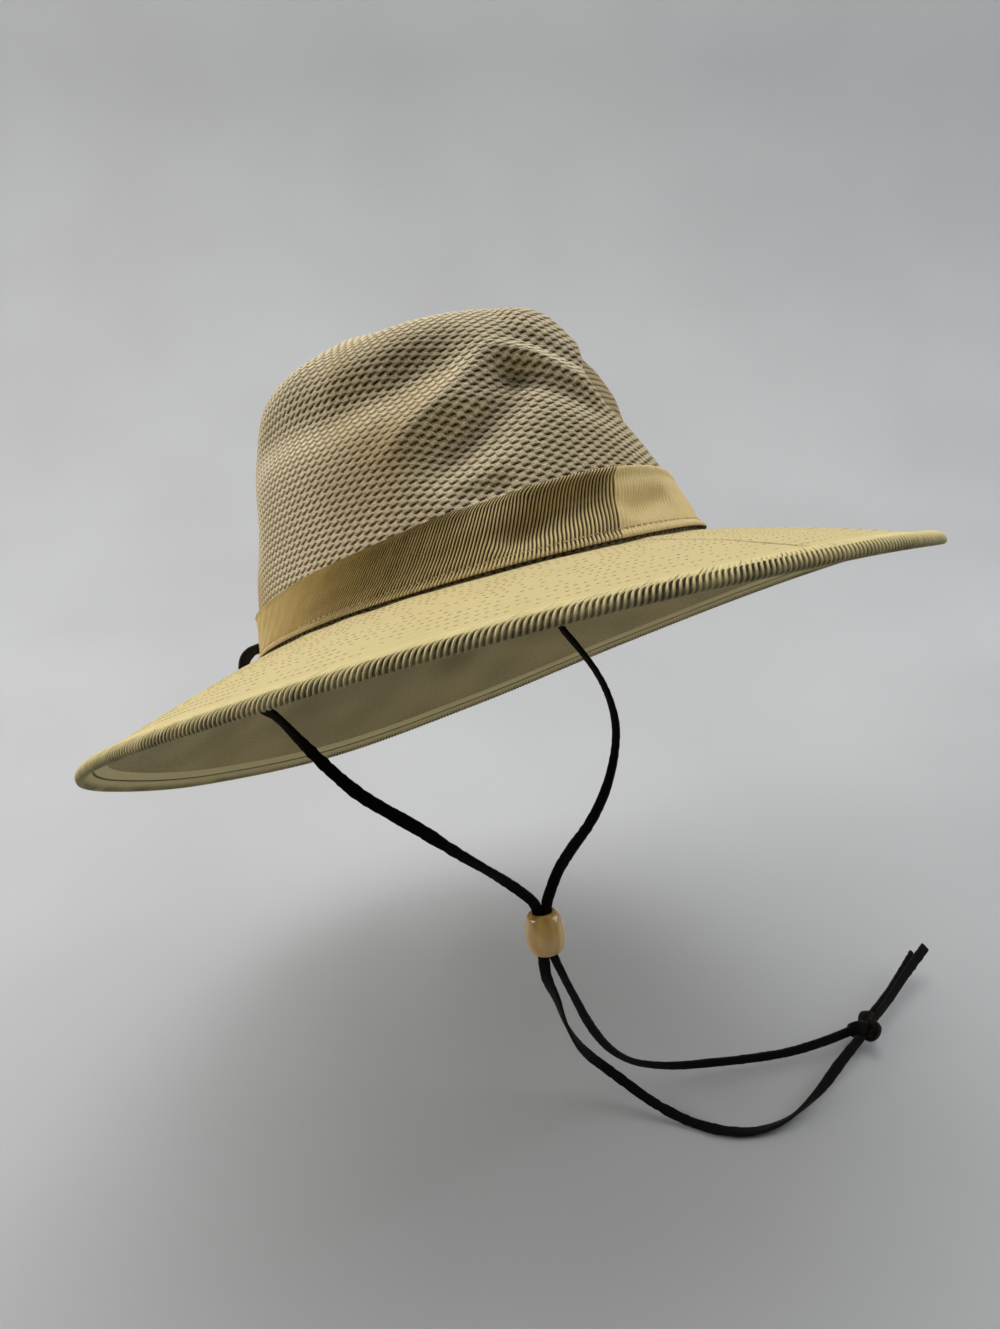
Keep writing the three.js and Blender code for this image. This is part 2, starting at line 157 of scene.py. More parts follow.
RIM_SECTIONS = (
    RimSection(0, 76, 29), RimSection(30, 76, 25), RimSection(60, 76, 23), RimSection(90, 76, 22),
    RimSection(120, 76, 26.5), RimSection(150, 76, 35), RimSection(180, 76, 40), RimSection(210, 76, 35),
    RimSection(240, 76, 26.5), RimSection(270, 76, 22), RimSection(300, 76, 23.5), RimSection(330, 76, 30.5),
)

BRIM_PROFILE = (
    RollPoint(0, 0), RollPoint(0.12, 0), RollPoint(0.4, 0), RollPoint(0.68, 0), RollPoint(0.92, 0.1),
    RollPoint(0.965, 1.1), RollPoint(0.992, 0.5), RollPoint(1, -1.2), RollPoint(0.992, -2.9),
    RollPoint(0.965, -3.5), RollPoint(0.92, -2.5), RollPoint(0.68, -BRIM_WALL), RollPoint(0.4, -BRIM_WALL),
    RollPoint(0.12, -BRIM_WALL), RollPoint(0, -BRIM_WALL),
)


def smooth_table(rows: Sequence[Sequence[float]], place: np.ndarray, closed: bool = False) -> np.ndarray:
    """Read a table at places between its rows, on a smooth curve through them.

    Args:
        rows: The table, one row of numbers for each place.
        place: Row numbers, whole or between two rows.
        closed: Whether the last row is followed by the first.

    Returns:
        The table's columns at each place.
    """
    table = np.array(rows, float)
    count = len(table)
    first = np.floor(place).astype(int)
    if not closed:
        first = np.clip(first, 0, count - 2)
    part = (place - first)[..., None]

    def row(step: int) -> np.ndarray:
        """Neighbour of the first row, by steps."""
        at = (first + step) % count if closed else np.clip(first + step, 0, count - 1)
        return table[at]

    before, start, end, after = row(-1), row(0), row(1), row(2)
    rise, fall, bend = (end - before) / 2, (after - start) / 2, start - end
    return start + part * (rise + part * (-3 * bend - 2 * rise - fall + part * (2 * bend + rise + fall)))


def smooth_step(low: float, high: float, value: np.ndarray) -> np.ndarray:
    """Rise smoothly from 0 at low to 1 at high."""
    part = np.clip((value - low) / (high - low), 0, 1)
    return part * part * (3 - 2 * part)


def soft_noise(points: np.ndarray, size: float, seed: int) -> np.ndarray:
    """Gentle random relief over a surface, from a few crossed waves.

    Args:
        points: Places on the surface.
        size: Usual distance from one hump to the next.
        seed: Seed of the waves.

    Returns:
        A value from about -1 to 1 for each point.
    """
    rng = np.random.default_rng(seed)
    total = np.zeros(points.shape[:-1])
    for _ in range(9):
        way = rng.normal(size=points.shape[-1])
        way *= rng.uniform(0.6, 1.5) * TURN / size / np.linalg.norm(way)
        total += np.sin(points @ way + rng.uniform(0, TURN))
    return total / 4


def seam_height(turn: np.ndarray) -> np.ndarray:
    """Height of the seam between crown and brim: low at front and back, high at the sides."""
    return -1.8 * np.cos(2 * turn) - 0.7 * np.cos(turn)


def oval(half_breadth: np.ndarray, half_length: np.ndarray, turn: np.ndarray, height: np.ndarray,
         shift: np.ndarray) -> np.ndarray:
    """Point on an oval, at an angle from the front towards the wearer's right."""
    x, y, z = np.broadcast_arrays(-half_breadth * np.sin(turn), shift - half_length * np.cos(turn), height)
    return np.stack([x, y, z], -1)


def unit(ways: np.ndarray) -> np.ndarray:
    """Directions at length 1."""
    return ways / np.linalg.norm(ways, axis=-1, keepdims=True)


def outward(rise: np.ndarray, around: np.ndarray) -> np.ndarray:
    """Direction at length 1 that stands on a surface, from two directions along it."""
    out = np.cross(rise, around)
    return out / np.maximum(np.linalg.norm(out, axis=-1, keepdims=True), 1e-9)


def rounded_box(angle: np.ndarray, width: float, height: float, power: float) -> np.ndarray:
    """Flat points round a box with rounded corners, from an ellipse (1) to a sharp box (0)."""
    waves = np.stack([np.cos(angle), np.sin(angle)], -1)
    return np.sign(waves) * np.abs(waves) ** power * (width, height) / 2


def dress(made: bpy.types.Object, slot: str, *nodes: str) -> bpy.types.Object:
    """Let a piece ride the hat and hide the part's nodes that it replaces.

    Args:
        made: The piece.
        slot: Its material slot in the part's record; not used.
        nodes: The nodes of the part that it stands in for, if any.

    Returns:
        The piece.
    """
    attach(made, BODY)
    if nodes:
        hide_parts(*nodes)
    return made


def to_row(points: np.ndarray) -> np.ndarray:
    """Points of the level hat in millimetres, tipped into place in metres."""
    tilt = Matrix.Rotation(-TIP_BACK, 3, "X") @ Matrix.Rotation(LEAN_LEFT, 3, "Y")
    return points @ np.array(tilt).T * MM


@dataclass
class CrownForm:
    """The crown's outside as a surface over turn and height."""

    dense: np.ndarray = field(init=False)
    slant: np.ndarray = field(init=False)
    held: tuple = (1.0, 7.0)
    turn_step: float = 0.01
    height_step: float = 0.3

    def __post_init__(self) -> None:
        """Work out close sections and the length along the wall up to each."""
        place = np.linspace(0, len(CROWN_SECTIONS) - 1, 3000)
        self.dense = smooth_table(CROWN_SECTIONS, place)
        radius = np.sqrt((self.dense[:, 1] ** 2 + self.dense[:, 2] ** 2) / 2)
        steps = np.hypot(np.diff(self.dense[:, 0]), np.diff(radius))
        self.slant = np.concatenate([[0], np.cumsum(steps)])

    def height_at(self, slant: np.ndarray) -> np.ndarray:
        """Height above the seam at a length up the wall."""
        return np.interp(slant, self.slant, self.dense[:, 0])

    def slant_at(self, height: float) -> float:
        """Length up the wall at a height."""
        return float(np.interp(height, self.dense[:, 0], self.slant))

    def point(self, turn: np.ndarray, height: np.ndarray) -> np.ndarray:
        """Point on the outside of the crown.

        Args:
            turn: Angle from the front towards the wearer's right.
            height: Height above the seam before the folds move the cloth.

        Returns:
            Places in the level frame.
        """
        level = height + FIT_GAP + seam_height(turn) * np.maximum(0, 1 - height / SEAM_WAVE_FADE)
        return self.folded(self.unfolded(turn, height, level))

    def unfolded(self, turn: np.ndarray, height: np.ndarray, level: np.ndarray) -> np.ndarray:
        """Point of the section at a height, laid at a level, before the folds move the cloth."""
        breadth, length, shift = (np.interp(height, self.dense[:, 0], self.dense[:, k]) for k in (1, 2, 3))
        return oval(breadth, length, turn, level, shift)

    def folded(self, points: np.ndarray) -> np.ndarray:
        """Move points by the folds of the soft crown, which is held where it is sewn to the brim.

        Args:
            points: Places before any fold.

        Returns:
            Places after all folds.
        """
        moved = points.copy()
        free = smooth_step(*self.held, points[..., 2])
        for fold in CROWN_FOLDS:
            weight = self.fold_weight(points, fold) * free
            moved += weight[..., None] * np.array(fold.push, float)
        return moved

    @staticmethod
    def fold_weight(points: np.ndarray, fold: Fold) -> np.ndarray:
        """How strongly a fold acts at each point, from 0 to 1.

        Args:
            points: Places before any fold.
            fold: The fold.

        Returns:
            A weight for each point, which fades out at both ends of the fold.
        """
        line = np.array(fold.line, float)
        nearest = np.full(points.shape[:-1], np.inf)
        along = np.zeros(points.shape[:-1])
        for i in range(len(line) - 1):
            stretch = line[i + 1] - line[i]
            part = np.clip((points - line[i]) @ stretch / (stretch @ stretch), 0, 1)
            distance = np.linalg.norm(points - line[i] - part[..., None] * stretch, axis=-1)
            closer = distance < nearest
            nearest = np.where(closer, distance, nearest)
            along = np.where(closer, (i + part) / (len(line) - 1), along)
        fade = (1 - (2 * along - 1) ** 4) ** 2
        return fade * np.exp(-((nearest / fold.reach) ** 2))

    def normal(self, turn: np.ndarray, height: np.ndarray) -> np.ndarray:
        """Outward direction of the crown's surface.

        Args:
            turn: Angle from the front towards the wearer's right.
            height: Height above the seam.

        Returns:
            Directions at length 1.
        """
        low = np.maximum(height - self.height_step, 0)
        high = np.minimum(height + self.height_step, CROWN_TOP - 0.02)
        around = self.point(turn + self.turn_step, height) - self.point(turn - self.turn_step, height)
        return outward(self.point(turn, high) - self.point(turn, low), around)


@dataclass
class BrimForm:
    """The brim as a surface over turn and length along its cross-section."""

    place: np.ndarray = field(init=False)
    profile: np.ndarray = field(init=False)
    length: np.ndarray = field(init=False)
    mean_drop: float = 27.0
    turn_step: float = 0.004
    length_step: float = 0.15

    def __post_init__(self) -> None:
        """Work out the close cross-section and the length along it."""
        self.place = np.linspace(0, len(BRIM_PROFILE) - 1, 2801)
        self.profile = smooth_table(BRIM_PROFILE, self.place)
        reach = RIM_SECTIONS[0].width + BRIM_OVERLAP
        across, lift = self.profile[:, 0] * reach, self.profile[:, 1] - self.profile[:, 0] * self.mean_drop
        self.length = np.concatenate([[0], np.cumsum(np.hypot(np.diff(across), np.diff(lift)))])

    def length_at(self, row: float) -> float:
        """Length along the cross-section at a row of the profile."""
        return float(np.interp(row, self.place, self.length))

    def surface(self, turn: np.ndarray, length: np.ndarray) -> np.ndarray:
        """Point of the brim at a length along its cross-section, from the inner edge over the roll.

        Args:
            turn: Angle from the front towards the wearer's right.
            length: Length along the cross-section.

        Returns:
            Places in the level frame.
        """
        across = np.interp(length, self.length, self.profile[:, 0])
        lift = np.interp(length, self.length, self.profile[:, 1])
        return self.point(turn, across, lift)

    @staticmethod
    def point(turn: np.ndarray, across: np.ndarray, lift: np.ndarray) -> np.ndarray:
        """Point on the brim or off it.

        Args:
            turn: Angle from the front towards the wearer's right.
            across: Part of the way from the inner edge (0) to the rim (1).
            lift: Height above the upper surface.

        Returns:
            Places in the level frame.
        """
        rim = smooth_table(RIM_SECTIONS, turn / TURN * len(RIM_SECTIONS), closed=True)
        outset = across * (rim[..., 1] + BRIM_OVERLAP) - KNIT_WALL
        fall = rim[..., 2] * (0.8 * across + 0.2 * across * across)
        height = seam_height(turn) * (1 - across) - fall + lift
        return oval(CROWN_HALF_BREADTH + outset, CROWN_HALF_LENGTH + outset, turn, height, np.zeros(()))

    def normal(self, turn: np.ndarray, length: np.ndarray) -> np.ndarray:
        """Outward direction of the brim's surface.

        Args:
            turn: Angle from the front towards the wearer's right.
            length: Length along the cross-section.

        Returns:
            Directions at length 1.
        """
        around = self.surface(turn + self.turn_step, length) - self.surface(turn - self.turn_step, length)
        low = np.maximum(length - self.length_step, 0)
        high = np.minimum(length + self.length_step, self.length[-1])
        return -outward(self.surface(turn, high) - self.surface(turn, low), around)

    def raised(self, turn: np.ndarray, length: np.ndarray, rise: np.ndarray) -> np.ndarray:
        """Point stood off the brim's surface."""
        return self.surface(turn, length) + self.normal(turn, length) * rise[..., None]


@dataclass
class MeshParts:
    """Points, faces, cloth coordinates and relief of one mesh while it is put together."""

    points: list = field(default_factory=list)
    faces: list = field(default_factory=list)
    cloth: list = field(default_factory=list)
    relief: list = field(default_factory=list)
    count: int = 0

    def add(self, points: np.ndarray, faces: Sequence[np.ndarray], cloth: np.ndarray | float = 0.0,
            relief: np.ndarray | float = 1.0) -> None:
        """Add points and their faces.

        Args:
            points: Places in metres.
            faces: Groups of faces with like numbers of corners, which count from these points.
            cloth: Cloth coordinates of the points.
            relief: Relief of the points.
        """
        flat = points.reshape(-1, 3)
        self.points.append(flat)
        self.cloth.append(np.broadcast_to(cloth, points.shape[:-1] + (2,)).reshape(-1, 2))
        self.relief.append(np.broadcast_to(relief, points.shape[:-1]).reshape(-1))
        self.faces.extend(np.asarray(group) + self.count for group in faces)
        self.count += len(flat)

    def add_grid(self, points: np.ndarray, cloth: np.ndarray | float = 0.0,
                 relief: np.ndarray | float = 1.0, around: bool = True,
                 keep: np.ndarray | None = None) -> None:
        """Add a grid of points joined row to row.

        Args:
            points: Places in metres, by row and column.
            cloth: Cloth coordinates of the points.
            relief: Relief of the points.
            around: Whether the last column joins the first.
            keep: Which faces to keep, by row and column, or nothing for all.
        """
        rows, columns = points.shape[:2]
        index = np.arange(rows * columns).reshape(rows, columns)
        ahead = np.roll(index, -1, axis=1)
        quads = np.stack([index[:-1], ahead[:-1], ahead[1:], index[1:]], -1)
        if not around:
            quads = quads[:, :-1]
        if keep is not None:
            quads = quads[keep[:quads.shape[0], :quads.shape[1]]]
        self.add(points, [quads.reshape(-1, 4)], cloth, relief)

    def build(self, name: str, material: bpy.types.Material) -> bpy.types.Object:
        """Make the object.

        Args:
            name: The object's name.
            material: Its finish.

        Returns:
            The new object, smooth shaded, with its cloth coordinates and relief.
        """
        points, cloth, bumps = (np.concatenate(rows) for rows in (self.points, self.cloth, self.relief))
        sizes = np.concatenate([np.full(len(group), group.shape[1]) for group in self.faces])
        corners = np.concatenate([group.reshape(-1) for group in self.faces])
        used, corners = np.unique(corners, return_inverse=True)
        mesh = bpy.data.meshes.new(name)
        mesh.vertices.add(len(used))
        mesh.vertices.foreach_set("co", points[used].astype(np.float32).ravel())
        mesh.loops.add(len(corners))
        mesh.loops.foreach_set("vertex_index", corners.astype(np.int32))
        mesh.polygons.add(len(sizes))
        starts = np.concatenate([[0], np.cumsum(sizes)[:-1]])
        mesh.polygons.foreach_set("loop_start", starts.astype(np.int32))
        mesh.update(calc_edges=True)
        spread = cloth[used][corners].astype(np.float32)
        mesh.uv_layers.new(name="cloth").data.foreach_set("uv", spread.ravel())
        relief = mesh.attributes.new("relief", "FLOAT", "POINT")
        relief.data.foreach_set("value", bumps[used].astype(np.float32))
        mesh.polygons.foreach_set("use_smooth", np.ones(len(sizes), bool))
        mesh.validate()
        mesh.materials.append(material)
        made = bpy.data.objects.new(name, mesh)
        bpy.context.scene.collection.objects.link(made)
        return made


@dataclass
class Shade:
    """A number that varies over a surface, worked out by shader nodes."""

    nodes: "NodeBench"
    socket: bpy.types.NodeSocket

    def __add__(self, other: "Shade | float") -> "Shade":
        """Sum."""
        return self.nodes.math("ADD", self, other)

    def __sub__(self, other: "Shade | float") -> "Shade":
        """Difference."""
        return self.nodes.math("SUBTRACT", self, other)

    def __mul__(self, other: "Shade | float") -> "Shade":
        """Product."""
        return self.nodes.math("MULTIPLY", self, other)

    def wave(self) -> "Shade":
        """Sine."""
        return self.nodes.math("SINE", self)

    def size(self) -> "Shade":
        """Value without its sign."""
        return self.nodes.math("ABSOLUTE", self)

    def fraction(self) -> "Shade":
        """What is left above the whole number below."""
        return self.nodes.math("FRACT", self)

    def ripple(self) -> "Shade":
        """Swing from 0 to 1 and back, once for each 2 pi."""
        return self.wave() * 0.5 + 0.5

    def between(self, low: float, high: float) -> "Shade":
        """Rise smoothly as the value goes from one number to another.

        Args:
            low: Value that gives 0.
            high: Value that gives 1.

        Returns:
            A number from 0 to 1.
        """
        node = self.nodes.new("ShaderNodeMapRange", interpolation_type="SMOOTHSTEP")
        self.nodes.link(self.socket, node.inputs["Value"])
        node.inputs["From Min"].default_value = low
        node.inputs["From Max"].default_value = high
        return Shade(self.nodes, node.outputs["Result"])


class NodeBench:
    """Workbench for one material's nodes."""

    def __init__(self, name: str) -> None:
        """Start a material with a principled shader.

        Args:
            name: The material's name.
        """
        self.material = bpy.data.materials.new(name)
        self.material.use_nodes = True
        self.tree = self.material.node_tree
        self.shader = self.tree.nodes["Principled BSDF"]

    def new(self, kind: str, **settings: object) -> bpy.types.Node:
        """New node.

        Args:
            kind: The node's type.
            settings: Values of its properties.

        Returns:
            The node.
        """
        node = self.tree.nodes.new(kind)
        for key, value in settings.items():
            setattr(node, key, value)
        return node

    def link(self, start: bpy.types.NodeSocket, end: bpy.types.NodeSocket) -> None:
        """Join two sockets."""
        self.tree.links.new(start, end)

    def feed(self, value: "Shade | float", socket: bpy.types.NodeSocket) -> None:
        """Give a socket a varying or a fixed number.

        Args:
            value: The number.
            socket: An input of a node.
        """
        if isinstance(value, Shade):
            self.link(value.socket, socket)
        else:
            socket.default_value = value

    def math(self, operation: str, *values: "Shade | float") -> Shade:
        """Number worked out from others.

        Args:
            operation: What is done with them.
            values: The other numbers.

        Returns:
            The result.
        """
        node = self.new("ShaderNodeMath", operation=operation)
        for value, socket in zip(values, node.inputs):
            self.feed(value, socket)
        return Shade(self, node.outputs[0])

    def cloth(self) -> tuple[Shade, Shade, bpy.types.NodeSocket]:
        """Cloth coordinates in millimetres: across, up, and both as one vector."""
        source = self.new("ShaderNodeUVMap", uv_map="cloth")
        split = self.new("ShaderNodeSeparateXYZ")
        self.link(source.outputs["UV"], split.inputs[0])
        return Shade(self, split.outputs["X"]), Shade(self, split.outputs["Y"]), source.outputs["UV"]

    def place(self) -> bpy.types.NodeSocket:
        """Place on the object, in metres."""
        return self.new("ShaderNodeTexCoord").outputs["Object"]

    def relief(self) -> Shade:
        """Relief that the mesh carries: 0 in its hollows, 1 on its crests."""
        return Shade(self, self.new("ShaderNodeAttribute", attribute_name="relief").outputs["Fac"])

    def noise(self, where: bpy.types.NodeSocket, scale: float, detail: float = 3.0,
              stretch: tuple[float, float, float] = (1, 1, 1)) -> Shade:
        """Cloudy noise.

        Args:
            where: Coordinates.
            scale: Clouds for each unit of the coordinates.
            detail: Levels of finer clouds.
            stretch: Factor on each coordinate.

        Returns:
            The noise, about 0.5 on average.
        """
        sized = self.new("ShaderNodeMapping")
        self.link(where, sized.inputs["Vector"])
        sized.inputs["Scale"].default_value = stretch
        node = self.new("ShaderNodeTexNoise")
        self.link(sized.outputs["Vector"], node.inputs["Vector"])
        node.inputs["Scale"].default_value = scale
        node.inputs["Detail"].default_value = detail
        return Shade(self, node.outputs["Fac"])

    def blend(self, part: Shade, low: "Tone | bpy.types.NodeSocket",
              high: "Tone | bpy.types.NodeSocket") -> bpy.types.NodeSocket:
        """Colour between two others.

        Args:
            part: How much of the second colour there is, from 0 to 1.
            low: The first colour.
            high: The second colour.

        Returns:
            The mixed colour.
        """
        node = self.new("ShaderNodeMix", data_type="RGBA")
        self.link(part.socket, node.inputs["Factor"])
        for value, socket in ((low, node.inputs["A"]), (high, node.inputs["B"])):
            if isinstance(value, Tone):
                socket.default_value = value.linear()
            else:
                self.link(value, socket)
        return node.outputs["Result"]

    def paint(self, colour: bpy.types.NodeSocket) -> None:
        """Give the shader its colour."""
        self.link(colour, self.shader.inputs["Base Color"])

    def bump(self, height: Shade, depth: float, below: bpy.types.Node | None = None) -> bpy.types.Node:
        """Fine relief of the shading.

        Args:
            height: Relief from 0 to 1.
            depth: Its depth in metres.
            below: Coarser bump that this one adds to.

        Returns:
            The bump node, already joined to the shader.
        """
        node = self.new("ShaderNodeBump")
        node.inputs["Distance"].default_value = depth
        self.link(height.socket, node.inputs["Height"])
        if below:
            self.link(below.outputs["Normal"], node.inputs["Normal"])
        self.link(node.outputs["Normal"], self.shader.inputs["Normal"])
        return node

    def set(self, **values: object) -> None:
        """Fixed values on the shader's own sockets, named with _ for a space."""
        for key, value in values.items():
            self.shader.inputs[key.replace("_", " ")].default_value = value


class Tone(NamedTuple):
    """Colour as it is seen, from 0 to 255."""

    red: int
    green: int
    blue: int

    def linear(self) -> tuple[float, float, float, float]:
        """Colour as the shader takes it."""
        parts = [c / 255 for c in self]
        return (*(c / 12.92 if c <= 0.04045 else ((c + 0.055) / 1.055) ** 2.4 for c in parts), 1.0)


@dataclass(frozen=True)
class KnitFinish:
    """Matt knitted yarn: its own cream and tan tones, with painted light on its rows, a darker taupe painted
    as shade on the links between its pores, and brown painted shade down in them.
    """

    crest: Tone = Tone(242, 229, 196)
    # link is the yarn's tone painted in shade beside its lit ridges, and pore is the painted shade down in
    # the pores.
    link: Tone = Tone(160, 140, 102)
    pore: Tone = Tone(34, 25, 10)
    tan: Tone = Tone(204, 178, 132)
    row_swing: float = 0.15
    row_phase: float = 0.57
    pore_slant: float = 1.62
    column_plies: float = 5.0
    row_plies: float = 3.0
    loop_depth: float = 0.00045
    fibre_depth: float = 0.00022

    def material(self) -> bpy.types.Material:
        """Make the knit's material: rows and pores in the lattice's own coordinates, then loose fibre."""
        bench = NodeBench("knit_yarn")
        across, up, where = bench.cloth()
        fibre = bench.noise(where, 1.5, 4.0, (1.0, 2.2, 1.0)) - 0.5
        loose = bench.noise(where, 0.22, 2.0) - 0.5
        column = across * (1 / KNIT_PITCH) - up * (KNIT_SHIFT / KNIT_ROW / KNIT_PITCH)
        row = up * (1 / KNIT_ROW)
        # How far a spot lies off its row of yarn, and off the middle between two pores.
        swing = ((column + self.row_phase) * TURN).wave() * self.row_swing
        off_row = ((row - swing + loose * 0.2).fraction() - 0.5).size()
        from_row = (row + 0.5).fraction() - 0.5
        beside = ((column + from_row * self.pore_slant).fraction() - 0.5).size()
        # The row's ridge, the strand along its side, the rung over to the next row, and the pore's slit.
        ridge = off_row.between(0.3, 0.08)
        strand = (off_row - 0.1).size().between(0.11, 0.0)
        rung = beside.between(0.34, 0.12)
        slit = beside.between(0.26, 0.44) * off_row.between(0.16, 0.36)
        ply = ((column * self.column_plies + row * self.row_plies) * TURN).wave() * 0.5
        # Painted light and shade: the row ridges, side strands and rungs are painted toward the pale lit
        # tone, and the yarn beside them toward the link's shade; the fibre mottling is the yarn's own.
        lit = ridge * 0.42 + strand * 0.22 + rung * 0.3 + fibre * 0.8 + ply * ridge * 0.16
        warm = bench.noise(bench.place(), 14.0, 2.0).between(0.35, 0.7)
        yarn = bench.blend(lit.between(0.05, 0.85), self.link, bench.blend(warm, self.crest, self.tan))
        # Painted shade down in the pores: the slit, and the pore walls and floors where the mesh's relief is
        # low, are painted the dark pore tone.
        sunk = bench.blend(slit * 0.8, yarn, self.pore)
        bench.paint(bench.blend(bench.relief().between(0.02, 0.29), self.pore, sunk))
        loops = bench.bump(ridge * 0.45 + strand * 0.35 + rung * 0.35 - slit * 0.7, self.loop_depth)
        bench.bump(fibre + ply * 0.3, self.fibre_depth, loops)
        bench.set(Roughness=0.88, Sheen_Weight=0.1, Sheen_Roughness=0.5, Specular_IOR_Level=0.2)
        return bench.material


class Cut(Enum):
    """How a piece of twill is cut and worn."""

    BAND = "band"
    BRIM = "brim"
    EDGE = "edge"


class Weave(NamedTuple):
    """What a cut changes: how its slubs are drawn out, what relief is dark or pale, and its depth."""

    slub: tuple
    dark: float
    pale: float
    depth: float


WEAVES = {
    Cut.BAND: Weave((1.0, 0.35, 1.0), 0.2, 0.95, 0.00025),
    Cut.BRIM: Weave((0.8, 1.0, 1.0), 0.12, 0.86, 0.0004),
    Cut.EDGE: Weave((1.0, 0.35, 1.0), 0.12, 0.86, 0.00025),
}


@dataclass(frozen=True)
class TwillFinish:
    """Ribbed cotton twill with painted shade dark in its grooves and creases, faded in clouds to a plainer
    tone.
    """

    cut: Cut
    crest: Tone
    # groove is the painted shade where the relief is low: in the rib grooves, creases and hollows.
    groove_shade: Tone
    faded: Tone
    weft_gap: float = 0.62
    warp_gap: float = 0.55
    fuzz_depth: float = 0.0001

    def material(self) -> bpy.types.Material:
        """Make the twill's material."""
        bench = NodeBench(f"cotton_twill_{self.cut.value}")
        weave = WEAVES[self.cut]
        across, up, where = bench.cloth()
        slub = bench.noise(where, 0.9, 4.0, weave.slub)
        threads = (up * (TURN / self.weft_gap)).ripple() * (across * (TURN / self.warp_gap)).ripple()
        lit = bench.relief() + (slub - 0.5) * 0.3 + (threads - 0.25) * 0.08
        # Painted light and shade: low relief is painted the dark groove shade, and high relief the lit crest
        # tone.
        cloth = bench.blend(lit.between(weave.dark, weave.pale), self.groove_shade, self.crest)
        plain = bench.blend(lit.between(0.0, 0.7), self.groove_shade, self.faded)
        clouds = bench.noise(bench.place(), 22.0, 3.0)
        bench.paint(bench.blend(clouds.between(0.35, 0.8) * 0.4, cloth, plain))
        coarse = bench.bump(threads * 0.5 + slub, weave.depth)
        bench.bump(bench.noise(where, 4.0, 3.0), self.fuzz_depth, coarse)
        bench.set(Roughness=0.84, Sheen_Weight=0.06, Sheen_Roughness=0.5, Specular_IOR_Level=0.2)
        return bench.material


@dataclass(frozen=True)
class ThreadFinish:
    """Sewing thread, a little glossier than the cloth."""

    name: str
    light: Tone
    dark: Tone
    ply_depth: float = 0.00005

    def material(self) -> bpy.types.Material:
        """Make the thread's material."""
        bench = NodeBench(self.name)
        place = bench.place()
        tint = bench.noise(place, 90.0, 2.0)
        bench.paint(bench.blend(tint.between(0.3, 0.7), self.dark, self.light))
        bench.bump(bench.noise(place, 3000.0, 2.0), self.ply_depth)
        bench.set(Roughness=0.6, Specular_IOR_Level=0.4)
        return bench.material


@dataclass(frozen=True)
class SuedeFinish:
    """Black-brown suede with a soft nap and paler scuffed edges."""

    deep: Tone = Tone(9, 6, 5)
    scuffed: Tone = Tone(30, 21, 17)
    scuff_depth: float = 0.0004
    nap_depth: float = 0.0002

    def material(self) -> bpy.types.Material:
        """Make the suede's material."""
        bench = NodeBench("suede")
        place = bench.place()
        nap = bench.noise(place, 900.0, 4.0)
        scuff = bench.noise(place, 160.0, 3.0)
        worn = bench.relief() * 0.5 + scuff * 0.8
        bench.paint(bench.blend(worn.between(0.55, 1.1), self.deep, self.scuffed))
        coarse = bench.bump(scuff, self.scuff_depth)
        bench.bump(nap, self.nap_depth, coarse)
        bench.set(Roughness=0.92, Sheen_Weight=0.05, Sheen_Roughness=0.5, Specular_IOR_Level=0.1)
        return bench.material


@dataclass(frozen=True)
class WoodFinish:
    """Turned honey wood under clear varnish."""

    light: Tone = Tone(216, 176, 96)
    dark: Tone = Tone(172, 126, 56)
    year_rings: float = 40.0
    grain_depth: float = 0.00006

    def material(self) -> bpy.types.Material:
        """Make the wood's material."""
        bench = NodeBench("varnished_wood")
        place = bench.place()
        grain = bench.noise(place, 220.0, 4.0, (1.0, 1.0, 0.12))
        rings = bench.noise(place, 70.0, 2.0, (1.0, 0.7, 0.2))
        mixed = grain * 0.6 + (rings * self.year_rings).ripple() * 0.35
        bench.paint(bench.blend(mixed.between(0.2, 0.85), self.light, self.dark))
        bench.bump(grain, self.grain_depth)
        bench.set(Roughness=0.3, Coat_Weight=1.0, Coat_Roughness=0.04)
        return bench.material


# Place in front and to the wearer's right that a lace's untwisted face looks towards, in metres.
LACE_FACES = (-0.23, -0.31, 0.18)


